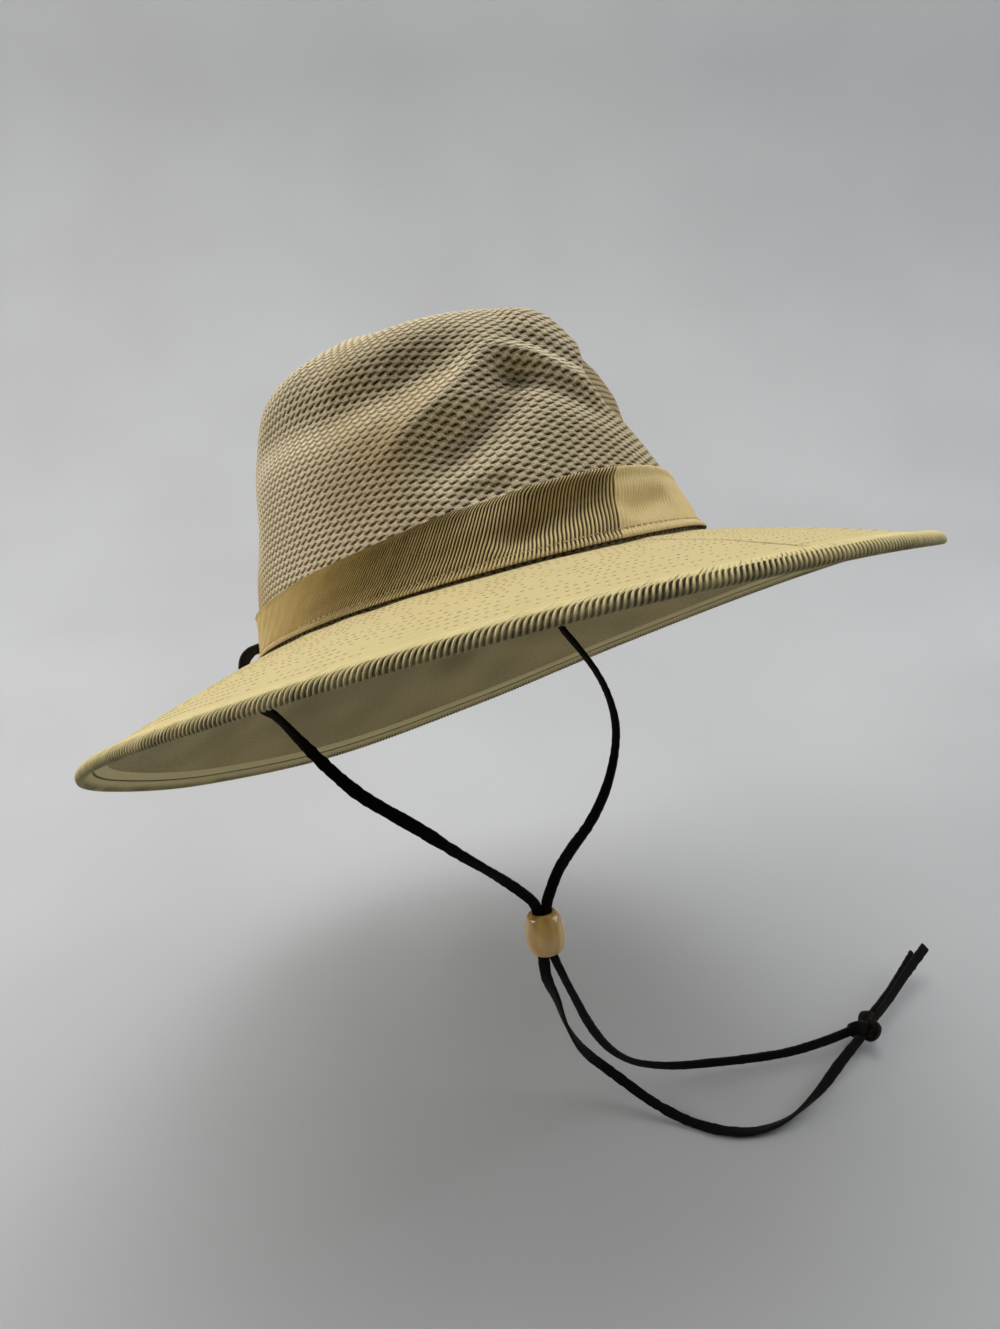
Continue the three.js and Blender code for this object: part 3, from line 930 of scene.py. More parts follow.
@dataclass
class Lace:
    """Flat suede lace that follows a route, with slow twists: degrees at parts of its length."""

    name: str
    node: str
    route: Sequence[tuple]
    twist: tuple
    far_end: str
    ends: tuple = ()
    width: float = 4.9
    thick: float = 1.7
    step: float = 1.6
    sides: int = 14
    corner: float = 0.55
    soften: int = 13
    breadth_wave: float = 23.0

    def centreline(self) -> np.ndarray:
        """Close points along the route, in metres: centripetal curve through the route's points."""
        points = np.array(self.route, float)
        points = np.vstack([2 * points[0] - points[1], points, 2 * points[-1] - points[-2]])
        line = []
        for a, b, c, d in zip(points, points[1:], points[2:], points[3:]):
            count = max(2, round(np.linalg.norm(c - b) / self.step))
            line.append(self.stretch(a, b, c, d, np.linspace(0, 1, count, endpoint=False)))
        return np.vstack([*line, points[-2:-1]]) * MM

    @staticmethod
    def stretch(a: np.ndarray, b: np.ndarray, c: np.ndarray, d: np.ndarray, part: np.ndarray) -> np.ndarray:
        """Points between b and c on the centripetal curve through four points.

        Args:
            a: Point before the stretch.
            b: Point where it starts.
            c: Point where it ends.
            d: Point after it.
            part: Parts of the way from b to c.

        Returns:
            A point for each part.
        """
        gaps = [max(np.linalg.norm(end - start) ** 0.5, 1e-4) for start, end in ((a, b), (b, c), (c, d))]
        leave = ((b - a) / gaps[0] - (c - a) / (gaps[0] + gaps[1]) + (c - b) / gaps[1]) * gaps[1]
        arrive = ((c - b) / gaps[1] - (d - b) / (gaps[1] + gaps[2]) + (d - c) / gaps[2]) * gaps[1]
        t = part[:, None]
        return (b + t * leave + t ** 2 * (3 * (c - b) - 2 * leave - arrive)
                + t ** 3 * (2 * (b - c) + leave + arrive))

    def frames(self, line: np.ndarray) -> tuple[np.ndarray, np.ndarray]:
        """Side and face directions along the lace, whose flat faces the wearer's front right less its twist.

        Args:
            line: Points along the lace.

        Returns:
            The directions across its width and out of its face.
        """
        tangent = unit(np.gradient(line, axis=0))
        sides = unit(np.cross(tangent, np.array(LACE_FACES) - line))
        faces = np.cross(tangent, sides)
        parts, degrees = np.array(self.twist, float).T
        angle = np.interp(np.linspace(0, 1, len(line)), parts, np.radians(degrees))
        padded = np.pad(angle, self.soften // 2, mode="edge")
        soft = np.convolve(padded, np.full(self.soften, 1 / self.soften), mode="valid")[:, None]
        return (sides * np.cos(soft) + faces * np.sin(soft),
                faces * np.cos(soft) - sides * np.sin(soft))

    def build(self, material: bpy.types.Material) -> bpy.types.Object:
        """Make the lace and dress it.

        Args:
            material: The suede.

        Returns:
            The lace's object.
        """
        line = self.centreline()
        side, face = self.frames(line)
        angle = np.linspace(0, TURN, self.sides, endpoint=False)
        section = rounded_box(angle, self.width, self.thick, self.corner) * MM
        rng = np.random.default_rng(SEED + len(self.name))
        along = np.arange(len(line)) * self.step
        breadth = (1 + 0.07 * np.sin(along / self.breadth_wave + rng.uniform(0, 6))
                   + 0.04 * rng.normal(size=len(line)))
        rings = (line[:, None] + section[None, :, :1] * breadth[:, None, None] * side[:, None]
                 + section[None, :, 1:] * face[:, None])
        edge = (np.abs(section[:, 0]) / section[:, 0].max()) ** 3
        cloth = np.stack(np.broadcast_arrays(np.arange(self.sides) * 1.0, along[:, None]), -1)
        parts = MeshParts()
        parts.add_grid(rings[::-1], cloth, edge)
        cap = np.arange(self.sides)[None, :]
        parts.add(rings[0], [cap], cloth[0], edge)
        parts.add(rings[-1], [cap[:, ::-1]], cloth[-1], edge)
        made = dress(parts.build(self.name, material), "suede", self.node)
        self.width * MM
        return made


LACE_RIGHT_ROUTE = [
    (-80.86, 47.99, -34.05), (-80.9, 46.6, -36.3), (-80.3, 42, -38.6), (-79, 31, -38.6),
    (-78, 13.5, -41.6), (-75.2, -4.4, -47.2), (-70.8, -18.8, -52.9), (-64.6, -29.8, -57.8),
    (-57.5, -39.3, -63.5), (-46.8, -50.2, -73.8), (-34.9, -59.2, -85), (-27.6, -63.6, -93),
    (-23.2, -66.4, -99), (-22, -67.5, -103.4), (-23.3, -73.1, -120), (-23.3, -75.4, -131),
    (-18.5, -76.8, -146), (-13.5, -77.2, -162), (-5.6, -77.5, -180), (1.6, -78.2, -192),
    (8.1, -79.8, -201), (17, -86, -212.5), (22.9, -95.4, -219), (28.2, -105.6, -222.5),
    (33.3, -114.5, -224.2), (41.2, -125.8, -224.2), (51.7, -134.1, -224.2), (66.7, -139.3, -223.5),
    (88.2, -139.7, -221.5), (111.2, -136.5, -219), (127.5, -134.4, -217.4), (130.5, -133.9, -217.2),
]
LACE_LEFT_ROUTE = [
    (79.88, 41.7, -43.36), (79.7, 40.2, -45.6), (79.1, 35.5, -48.4), (77.2, 21, -52.8),
    (74, 4, -58.5), (68, -11, -63.5), (59, -25, -69), (47, -36.5, -75.5), (33, -46, -82),
    (18, -53.5, -86.5), (3, -59, -89.5), (-8, -63.5, -92.5), (-14.8, -67, -96.5),
    (-18.2, -68.8, -99.8), (-19, -69.7, -103), (-20.3, -75.3, -119.6), (-17.4, -78.8, -131.3),
    (-11.7, -80.6, -146.3), (-4.4, -81.7, -164), (5, -82, -182), (13.9, -83, -195),
    (23.7, -85, -205), (34.1, -88.8, -211), (45, -93.4, -214.8), (58.2, -99.5, -217),
    (75.3, -108.2, -218.5), (95, -117.8, -219), (113.8, -124.6, -218.5), (127.7, -129.2, -217),
    (130.4, -130.1, -217),
]
KNOT_CENTRE = (135.5, -132, -217)
TAIL_RIGHT_ROUTE = [
    (140.2, -132.4, -216.6), (143.6, -131.9, -216.2), (159.9, -129.2, -215), (172.9, -126.6, -213.5),
    (186.9, -124.2, -212), (200.1, -122.2, -210),
]
TAIL_LEFT_ROUTE = [
    (139.6, -130.2, -217.2), (142.4, -129.4, -217), (159.9, -126.8, -216.2), (172.7, -124.2, -215),
    (184.5, -121.6, -213.8), (193.3, -119.6, -212.6),
]
BEAD_TOP = (-20.5, -68.6, -103.2)
BEAD_BOTTOM = (-21.8, -74.2, -119.8)

# Lace over the brim round the back of the crown: turn in degrees, outset from the seam, rise.
LACE_BACK_ROUTE = [
    (122, 9.5, -5), (122, 9.5, -1), (122.3, 9.9, 3.8), (124, 9.6, 8.2), (128, 7.6, 11.6), (135, 5.4, 13.4),
    (147, 4.4, 13), (163, 4, 11.5), (180, 4, 10.5), (197, 4, 11.5), (213, 4.4, 13), (225, 5.4, 13.4),
    (232, 7.6, 11.6), (236, 9.6, 8.2), (237.7, 9.9, 3.8), (238, 9.5, -1), (238, 9.5, -5),
]

# Twist of each lace: part of its length, and degrees.
RIGHT_TWIST = (
    (0, 5), (0.05, 62), (0.13, 5), (0.22, 0), (0.31, 58), (0.36, 10), (0.43, 15), (0.485, 66), (0.53, 90),
    (0.57, 125), (0.64, 165), (0.74, 172), (0.82, 120), (0.86, 95), (0.92, 30), (1, 20),
)
LEFT_TWIST = ((0, 60), (0.1, 60), (0.4, 30), (0.52, 60), (0.6, 45), (0.7, 70), (0.82, 40), (1, 40))


@dataclass
class ChinLace:
    """The lace with its bead and its knot."""

    brim: BrimForm
    suede: bpy.types.Material
    wood: bpy.types.Material
    bead_radius: float = 8.0
    bead_end_radius: float = 5.3
    bead_gap: float = 0.1
    bore_radius: float = 3.9
    bead_rings: int = 26
    bead_sides: int = 72
    knot_strand: tuple = (6.4, 4.1)
    knot_reach: tuple = (3.3, 2.3, 2.5)
    knot_loops: float = 1.3
    knot_rings: int = 150

    def build(self) -> list[bpy.types.Object]:
        """Make the bead, the knot and the five lengths of lace."""
        bead = self.bead()
        knot = self.knot()
        laces = [
            Lace("suede_lace_right", "lace_right", LACE_RIGHT_ROUTE, RIGHT_TWIST, "knot", (bead, knot)),
            Lace("suede_lace_left", "lace_left", LACE_LEFT_ROUTE, LEFT_TWIST, "object"),
            Lace("suede_lace_back", "lace_back", self.back_route(), ((0, 30), (1, 30)), "object"),
            Lace("suede_tail_right", "tail_right", TAIL_RIGHT_ROUTE, ((0, 60), (0.4, 35), (1, 20)), "bare"),
            Lace("suede_tail_left", "tail_left", TAIL_LEFT_ROUTE, ((0, 60), (0.4, 50), (1, 40)), "bare"),
        ]
        return [bead, knot, *(lace.build(self.suede) for lace in laces)]

    def back_route(self) -> list[tuple]:
        """Route of the lace round the back, tipped into place, in millimetres."""
        reach = RIM_SECTIONS[0].width + KNIT_WALL
        places = []
        for degrees, outset, rise in LACE_BACK_ROUTE:
            turn = np.array(math.radians(degrees))
            below = self.brim.point(turn, np.array(outset / reach), np.zeros(()))
            rim = oval(CROWN_HALF_BREADTH + outset, CROWN_HALF_LENGTH + outset, turn, below[2] + rise,
                       np.zeros(()))
            places.append(tuple(to_row(rim) / MM))
        return places

    def bead(self) -> bpy.types.Object:
        """Turned barrel bead with softened rims and its bore."""
        half = math.dist(BEAD_TOP, BEAD_BOTTOM) / 2 - self.bead_gap
        swing = np.linspace(-1, 1, self.bead_rings)
        barrel = self.bead_end_radius + (self.bead_radius - self.bead_end_radius) * np.sqrt(1 - swing ** 2)
        lip = [(self.bore_radius + 0.4, 1.0), (self.bore_radius, 0.93)]
        profile = [*zip(barrel, swing * 0.985), *lip, *((radius, -part) for radius, part in reversed(lip))]
        radius, part = np.array(profile).T[..., None]
        turn = np.linspace(0, TURN, self.bead_sides, endpoint=False)
        points = np.stack(np.broadcast_arrays(radius * np.cos(turn), radius * np.sin(turn), part * half), -1)
        parts = MeshParts()
        parts.add_grid(np.concatenate([points, points[:1]]) * MM)
        made = parts.build("wood_bead", self.wood)
        top, bottom = Vector(BEAD_TOP) * MM, Vector(BEAD_BOTTOM) * MM
        made.matrix_world = (Matrix.Translation((top + bottom) / 2)
                             @ (top - bottom).to_track_quat("Z", "Y").to_matrix().to_4x4())
        bpy.context.view_layer.update()
        return dress(made, "wood", "bead")

    def knot(self) -> bpy.types.Object:
        """Overhand knot of both ends pulled tight: a flat strand that winds over itself."""
        t = np.linspace(0, TURN, self.knot_rings, endpoint=False)
        reach, loops = self.knot_reach, self.knot_loops
        line = np.stack([(np.sin(t) + loops * np.sin(2 * t)) * reach[0],
                         (np.cos(t) - loops * np.cos(2 * t)) * reach[1], -np.sin(3 * t) * reach[2]], -1)
        tangent = unit(np.roll(line, -1, 0) - np.roll(line, 1, 0))
        side = unit(np.cross(tangent, unit(line)))
        face = np.cross(side, tangent)
        angle = np.linspace(0, TURN, 14, endpoint=False)
        section = rounded_box(angle, *self.knot_strand, 0.6)[None]
        rings = line[:, None] + section[..., :1] * side[:, None] + section[..., 1:] * face[:, None]
        rings = np.concatenate([rings, rings[:1]]) + np.array(KNOT_CENTRE)
        parts = MeshParts()
        parts.add_grid(rings * MM, 0.0, np.abs(np.cos(angle)) ** 3)
        return dress(parts.build("suede_knot", self.suede), "suede", "knot")


# Points of one knit cell: two yarn crossings, six round its pore and six on the pore's floor.
CROSSINGS = 2
CORNERS = 6
CELL_POINTS = CROSSINGS + 2 * CORNERS
PORE_SHAPE = ((-0.38, -1), (0.38, -1), (1, 0), (0.38, 1), (-0.38, 1), (-1, 0))
PORE_FLOOR = 0.62


@dataclass
class KnitCrown:
    """Crown of open knit: a lattice of pores between zigzag ridges of yarn."""

    form: CrownForm
    yarn: bpy.types.Material
    cone_length: float = 276.0
    cone_part: float = 0.34
    grain_turn: float = math.radians(90)
    pore: tuple = (0.98, 0.27)
    open_pore: tuple = (1.25, 0.52)
    pore_lean: float = math.radians(150)
    wall_depth: float = 1.0
    crossing_rise: tuple = (0.36, 0.5)
    crossing_relief: tuple = (0.9, 1.0)
    rim_relief: float = 0.3
    side_cells: tuple = (range(-135, 48), range(-3, 128))
    side_margin: float = 2.5
    side_overlap: float = 0.06
    tip_cells: tuple = (range(-14, 15), range(-13, 16))
    tip_opening: float = 0.3
    tip_height: float = 109.2
    low_height: float = 15.6
    foot_around: int = 300
    foot_sink: float = 0.45
    foot_radius: float = 90.0
    smallest_face: float = 1e-3

    def build(self) -> bpy.types.Object:
        """Make the side, the tip and the plain foot under the band as one mesh."""
        parts = MeshParts()
        self.add_side(parts)
        self.add_tip(parts)
        self.add_foot(parts)
        return dress(parts.build("crown_knit", self.yarn), "knit", "crown")

    def stencil(self, centres: np.ndarray, opening: np.ndarray) -> np.ndarray:
        """Flat outline of the cells' yarn crossings, pores and pore floors.

        Args:
            centres: Middle of each cell, by row, column and axis.
            opening: How open the pore is, from 0 to 1.

        Returns:
            The flat points of each cell, in the order of a cell's points.
        """
        ahead = np.array((KNIT_PITCH, 0.0))
        up = np.array((KNIT_SHIFT, KNIT_ROW))
        crossings = centres[..., None, :] + np.array([(ahead + up) / 3, (2 * up - ahead) / 3])
        size = [low + (high - low) * opening for low, high in zip(self.pore, self.open_pore)]
        lens = np.array(PORE_SHAPE) * np.stack(size, -1)[..., None, :]
        cos, sin = math.cos(self.pore_lean), math.sin(self.pore_lean)
        turned = np.stack([lens[..., 0] * cos - lens[..., 1] * sin,
                           lens[..., 0] * sin + lens[..., 1] * cos], -1)
        rim = centres[..., None, :] + turned
        floor = centres[..., None, :] + turned * PORE_FLOOR
        return np.concatenate([crossings, rim, floor], -2)

    def lattice(self, columns: range, rows: range) -> np.ndarray:
        """Middles of the cells, by row and column."""
        row, column = np.meshgrid(np.array(rows), np.array(columns), indexing="ij")
        return np.stack([column * KNIT_PITCH + row * KNIT_SHIFT, row * KNIT_ROW], -1).astype(float)

    def cell_faces(self, wanted: np.ndarray) -> np.ndarray:
        """Faces of the wanted cells: a ring of yarn round each pore and the pore's wall.

        Args:
            wanted: Which cells of the lattice are made, by row and column.

        Returns:
            Four corners of each face, counted over the points of all cells.
        """
        rows, columns = wanted.shape
        row, column = np.nonzero(wanted)
        inside = (row > 0) & (row < rows - 1) & (column > 0) & (column < columns - 1)
        row, column = row[inside], column[inside]

        def corner(down: int, ahead: int, kind: int) -> np.ndarray:
            """Point of a neighbouring cell."""
            return ((row + down) * columns + column + ahead) * CELL_POINTS + kind

        around = ((0, 0, 0), (0, 0, 1), (0, -1, 0), (-1, 0, 1), (-1, 0, 0), (-1, 1, 1))
        crossings = [corner(*place) for place in around]
        rim = [corner(0, 0, CROSSINGS + k) for k in range(CORNERS)]
        floor = [corner(0, 0, CROSSINGS + CORNERS + k) for k in range(CORNERS)]
        faces = []
        for k in range(CORNERS):
            n = (k + 1) % CORNERS
            faces.append(np.stack([crossings[k], crossings[n], rim[n], rim[k]], -1))
            faces.append(np.stack([rim[k], rim[n], floor[n], floor[k]], -1))
        return np.concatenate(faces)

    def lay(self, parts: MeshParts, flat: np.ndarray, turn: np.ndarray, height: np.ndarray,
            wanted: np.ndarray) -> None:
        """Lay a flat stencil over the crown.

        Args:
            parts: The mesh to add to.
            flat: Stencil points, by row, column, point and axis.
            turn: Turn of each point, clamped to the panel.
            height: Height of each point, clamped to the panel.
            wanted: Which cells are made.
        """
        used, faces = np.unique(self.cell_faces(wanted), return_inverse=True)
        faces = faces.reshape(-1, 4)
        turn, height, flat = turn.reshape(-1)[used], height.reshape(-1)[used], flat.reshape(-1, 2)[used]
        kind = used % CELL_POINTS
        kinds = [kind == 0, kind == 1, kind < CROSSINGS + CORNERS]
        rise = np.select(kinds, [*self.crossing_rise, 0.0], -self.wall_depth)
        # This relief is what the yarn's finish paints shade by: high on the crossings, low on the pore's rim
        # and lowest on its floor, so the pores are painted dark.
        relief = np.select(kinds, [*self.crossing_relief, self.rim_relief], 0.0)
        points = self.form.point(turn, height) + self.form.normal(turn, height) * rise[:, None]
        sides = [points[faces[:, k + 2]] - points[faces[:, k]] for k in (0, 1)]
        area = np.linalg.norm(np.cross(*sides), axis=-1)
        parts.add(to_row(points), [faces[area > self.smallest_face]], flat, relief)

    def opening(self, turn: np.ndarray, height: np.ndarray) -> np.ndarray:
        """How far the pores are pulled open: most in the gutter and the pinch.

        Args:
            turn: Turn of each cell.
            height: Height of each cell.

        Returns:
            A number from 0 to 1 for each cell.
        """
        base = self.form.unfolded(turn, height, height)
        gutter = self.form.fold_weight(base, CROWN_FOLDS[0]._replace(reach=17))
        pinch = self.form.fold_weight(base, CROWN_FOLDS[2]._replace(reach=20))
        return np.clip(0.1 + gutter * 0.7 + pinch * 0.6, 0, 1)

    def add_side(self, parts: MeshParts) -> None:
        """Add the side panel: one flat piece wrapped round, joined down the back.

        Args:
            parts: The mesh to add to.
        """
        centres = self.lattice(*self.side_cells)
        turn, slant = self.wrap(centres)
        low, high = self.form.slant_at(self.low_height), self.form.slant_at(self.tip_height)
        wanted = ((np.abs(turn) < math.pi + self.side_overlap) & (slant > low - self.side_margin)
                  & (slant < high + self.side_margin))
        flat = self.stencil(centres, self.opening(turn, self.form.height_at(slant)))
        turn, slant = self.wrap(flat)
        turn = np.clip(turn, -math.pi, math.pi)
        self.lay(parts, flat, turn, self.form.height_at(np.clip(slant, low, high)), wanted)

    def wrap(self, flat: np.ndarray) -> tuple[np.ndarray, np.ndarray]:
        """Turn and length up the wall of flat places on the cone-shaped side panel."""
        down = self.cone_length - flat[..., 1]
        angle = np.arctan2(flat[..., 0], down)
        return self.grain_turn + angle / self.cone_part, self.cone_length - np.hypot(flat[..., 0], down)

    def add_tip(self, parts: MeshParts) -> None:
        """Add the flat tip that closes the crown at its top.

        Args:
            parts: The mesh to add to.
        """
        centres = self.lattice(*self.tip_cells)
        flat = self.stencil(centres, np.full(centres.shape[:2], self.tip_opening))
        sections = self.form.dense[self.form.dense[:, 0] > self.tip_height - 8]
        breadth, length = (np.maximum(sections[:, k], 1e-6) for k in (1, 2))
        ratio = ((flat[..., None, 0] / breadth) ** 2
                 + ((flat[..., None, 1] - sections[:, 3]) / length) ** 2)
        nearest = np.argmax(ratio >= 1, axis=-1)
        height = np.maximum(sections[nearest, 0], self.tip_height)
        height = np.where(ratio[..., 0] >= 1, self.tip_height, height)
        turn = np.arctan2(-flat[..., 0] / breadth[nearest],
                          -(flat[..., 1] - sections[nearest, 3]) / length[nearest])
        middle = height[..., CROSSINGS:CROSSINGS + CORNERS].max(-1)
        self.lay(parts, flat, turn, height, middle > self.tip_height)

    def add_foot(self, parts: MeshParts) -> None:
        """Add the crown's plain foot under the band, turned in at its edge and back up inside.

        Args:
            parts: The mesh to add to.
        """
        top = self.low_height + 0.4
        outside = [(height, -self.foot_sink) for height in np.arange(top - 1, 0.5, -1.6)]
        inside = [(height, -KNIT_WALL) for height in np.arange(2.0, top - 1, 2.4)]
        turned_in = [(0.3, -0.4), (0.0, -0.8), (0.3, -KNIT_WALL)]
        rows = np.array([(top, -0.1), *outside, *turned_in, *inside, (top, -1.0)])
        turn = np.linspace(0, TURN, self.foot_around, endpoint=False)
        turn, height = np.broadcast_arrays(turn, rows[:, :1])
        points = self.form.point(turn, height) + self.form.normal(turn, height) * rows[:, 1:, None]
        parts.add_grid(to_row(points), np.stack([turn * self.foot_radius, height], -1), 0.5)


def oval_columns(half_breadth: float, half_length: float, count: float, crowd: float = 0.0,
                 crowd_turn: float = 0.0) -> Callable:
    """Turns of ribs laid round an oval.

    Args:
        half_breadth: Half width of the oval.
        half_length: Half length of the oval.
        count: Number of ribs in a full circle.
        crowd: How much closer the ribs lie at one side than on average.
        crowd_turn: Turn a quarter circle before that side.

    Returns:
        A function from a rib's number, whole or not, to its turn.
    """
    turn = np.linspace(-2 * TURN, 2 * TURN, 16001)
    speed = np.hypot(half_breadth * np.cos(turn), half_length * np.sin(turn))
    speed *= 1 + crowd * np.sin(turn - crowd_turn)
    ribs = np.concatenate([[0], np.cumsum((speed[1:] + speed[:-1]) / 2)])
    ribs *= 4 * count / ribs[-1]
    ribs -= np.interp(0, turn, ribs)
    return lambda rib: np.interp(rib, ribs, turn)


# Places across one rib, from its groove over its crest: part of the pitch, and relief.
BAND_RIB = ((0.0, 0.0), (0.24, 0.5), (0.5, 1.0), (0.76, 0.5))
# The edge's outer face has darker relief than its top: painted shade on the face, and painted light on the
# top.
EDGE_RIB = ((0.0, 0.0), (0.18, 0.06), (0.34, 0.68), (0.5, 0.86), (0.66, 0.68), (0.82, 0.06))
EDGE_RIB_TOP = ((0.0, 0.1), (0.18, 0.6), (0.34, 0.95), (0.5, 1.0), (0.66, 0.95), (0.82, 0.6))


def rib_columns(count: int, steps: Sequence[tuple]) -> tuple[np.ndarray, np.ndarray]:
    """Rib number and relief of each column of a ribbed grid."""
    parts, relief = np.array(steps).T
    return (np.arange(count)[:, None] + parts).reshape(-1), np.tile(relief, count)


@dataclass
class HatBand:
    """Ribbed band with folded edges, stitched along its foot.

    The profile gives height above the seam and outset from the crown, from the foot inside its hem, up
    the outer face, over the folded top and down the back.
    """

    form: CrownForm
    twill: bpy.types.Material
    thread: bpy.types.Material
    ribs: int = 404
    rib_depth: float = 0.75
    half_breadth: float = 84.0
    half_length: float = 97.5
    radius: float = 91.0
    middle: float = 12.0
    lean: float = 0.62
    lean_swing: float = 0.16
    straight_turn: float = math.radians(35)
    side_lean: float = 0.3
    side_turn: float = math.radians(95)
    side_reach: float = 0.6
    fold_height: float = 21.0
    fold_lean: float = 0.55
    front_turn: float = math.radians(8)
    front_reach: tuple = (math.radians(85), math.radians(48))
    side_dip: float = 0.25
    crowd: float = 0.28
    crowd_turn: float = math.radians(10)
    stitch_height: float = 3.6
    stitch_outset: float = 1.6
    stitch_parts: tuple = (0.16, 0.82)
    stitches: int = 205
    profile: tuple = (
        (1.2, 0.3), (0.5, 0.7), (0.1, 1.3), (0.1, 2.0), (0.6, 2.55), (1.5, 2.6), (2.3, 2.2), (3.0, 1.75),
        (3.6, 1.45), (4.3, 1.62), (6.0, 1.6), (7.5, 1.45), (9.0, 1.35), (10.5, 1.25), (12.0, 1.2),
        (13.5, 1.2), (15.0, 1.2), (16.5, 1.25), (18.0, 1.3), (19.5, 1.35), (21.2, 1.45), (21.9, 1.7),
        (22.7, 2.0), (23.6, 2.1), (24.1, 1.85), (24.4, 1.4), (24.2, 0.95), (23.4, 0.65), (20.5, 0.6),
        (17.5, 0.6), (14.5, 0.5), (11.5, 0.2), (8.5, 0.1), (5.5, 0.1), (3.0, 0.2), (1.2, 0.3),
    )

    def build(self) -> list[bpy.types.Object]:
        """Make the band and its stitches."""
        rows = np.array(self.profile)
        height, outset = rows[:, :1], rows[:, 1:]
        numbers, crest = rib_columns(self.ribs, BAND_RIB)
        columns = oval_columns(self.half_breadth, self.half_length, self.ribs, self.crowd, self.crowd_turn)
        base = columns(numbers)
        turn = base - self.slide(rows, base)
        front = smooth_step(*self.front_reach, np.abs(base - self.front_turn))
        ribbed = smooth_step(1.2, 2.2, height) * 0.6 + 0.4
        ribbed = np.where((outset < 0.6) & (height > 1), 0.0, ribbed)
        # Painted shade: the rib grooves are painted darker toward the front, where the band lies in shade,
        # and the foot of the band is painted dark as the shadow in the crevice where it meets the brim.
        shaded = 1 - (1 - crest) * (0.32 + 0.68 * front)
        relief = (shaded * ribbed + (1 - ribbed) * 0.7) * smooth_step(0.0, 0.6, height)
        creases = soft_noise(np.stack([base * 20 + height * 0.2, height * 1.4 + base * 3], -1), 14, SEED)
        ribs = self.rib_depth * (0.5 + 0.7 * front) * (crest - 0.7) * ribbed
        swell = outset + smooth_step(0.6, 1.1, outset) * (ribs + 0.3 * creases)
        points = self.points(turn, self.dipped(turn, height) + self.wavy_top(base, height), swell)
        parts = MeshParts()
        parts.add_grid(to_row(points), np.stack(np.broadcast_arrays(base * self.radius, height), -1), relief)
        band = dress(parts.build("band_twill", self.twill), "ribbed_cotton", "hat_band")
        return [band, self.seam_stitches()]

    def slide(self, rows: np.ndarray, base: np.ndarray) -> np.ndarray:
        """How far round each rib has leant at each row of the profile.

        Args:
            rows: Height and outset of each row.
            base: Turn of each column at the middle of the band.

        Returns:
            Angles by row and column.
        """
        height = rows[:, :1]
        lean = self.lean + self.lean_swing * np.sin(base - self.straight_turn) + self.side_lean * np.exp(
            -((base - self.side_turn) / self.side_reach) ** 2)
        path = np.concatenate([[0], np.cumsum(np.linalg.norm(np.diff(rows, axis=0), axis=1))])[:, None]
        past_fold = path - path[int(np.argmax(rows[:, 0] > self.fold_height))]
        folded = smooth_step(self.fold_height, self.fold_height + 4, height)
        return ((height - self.middle) * lean / self.radius
                + folded * past_fold * self.fold_lean / self.radius)

    def dipped(self, turn: np.ndarray, height: np.ndarray | float) -> np.ndarray:
        """Height on the band, which is lower at the hat's sides."""
        return height * (1 - self.side_dip * np.sin(turn) ** 2)

    def wavy_top(self, base: np.ndarray, height: np.ndarray) -> np.ndarray:
        """Slow rise and fall of the top edge, which fades out down the band."""
        spread = np.stack([base * self.radius, np.broadcast_to(self.middle, base.shape)], -1)
        return 0.35 * soft_noise(spread, 60, SEED + 1) * smooth_step(16, 24, height)

    def points(self, turn: np.ndarray, height: np.ndarray, outset: np.ndarray) -> np.ndarray:
        """Places on the crown's outside, moved out level.

        Args:
            turn: Angle from the front towards the wearer's right.
            height: Height above the seam.
            outset: How far out the places lie.

        Returns:
            Places in the level frame.
        """
        turn, height, outset = np.broadcast_arrays(turn, np.maximum(height, 0), outset)
        out = self.form.normal(turn, height)
        out[..., 2] = 0
        return self.form.point(turn, height) + unit(out) * outset[..., None]

    def seam_stitches(self) -> bpy.types.Object:
        """Stitches along the foot of the band."""
        columns = oval_columns(self.half_breadth, self.half_length, self.stitches)
        numbers = np.arange(self.stitches)
        middle = columns(numbers + 0.5)
        level = self.dipped(middle, self.stitch_height)
        start, end = (self.points(columns(numbers + part), level, np.array(self.stitch_outset))
                      for part in self.stitch_parts)
        out = start - self.points(middle, level, np.array(0.0))
        made = stitch_mesh("band_stitches", start, end, out, 0.5, 0.3, self.thread)
        return dress(made, "ribbed_cotton")


# A stitch's points are its two ends, its four sides and the two ends of its raised middle.
STITCH_QUADS = ((1, 5, 4, 3), (3, 4, 6, 2))
STITCH_TRIANGLES = ((0, 1, 3), (0, 3, 2), (7, 4, 5), (7, 6, 4))
STITCH_SINK = -0.08


def stitch_mesh(name: str, start: np.ndarray, end: np.ndarray, out: np.ndarray, width: float, rise: float,
                material: bpy.types.Material) -> bpy.types.Object:
    """Many short stitches as one mesh, each a small bowed lozenge sunk at both ends.

    Args:
        name: Object name.
        start: Where each stitch goes in, in millimetres.
        end: Where it comes out.
        out: Outward direction of the cloth at each stitch.
        width: Thread width.
        rise: How far the thread's middle stands up.
        material: The thread's finish.

    Returns:
        The mesh object.
    """
    out, along = unit(out), end - start
    side = np.cross(out, along)
    side *= width / 2 / np.linalg.norm(side, axis=-1, keepdims=True)
    low, high = out * STITCH_SINK, out * rise
    points = np.stack([
        start + low, start + along * 0.12 - side, start + along * 0.12 + side,
        start + along * 0.2 + high, start + along * 0.8 + high,
        start + along * 0.88 - side, start + along * 0.88 + side, end + low,
    ], 1)
    first = np.arange(len(start))[:, None, None] * points.shape[1]
    parts = MeshParts()
    parts.add(to_row(points), [(np.array(faces) + first).reshape(-1, len(faces[0]))
                               for faces in (STITCH_QUADS, STITCH_TRIANGLES)])
    return parts.build(name, material)


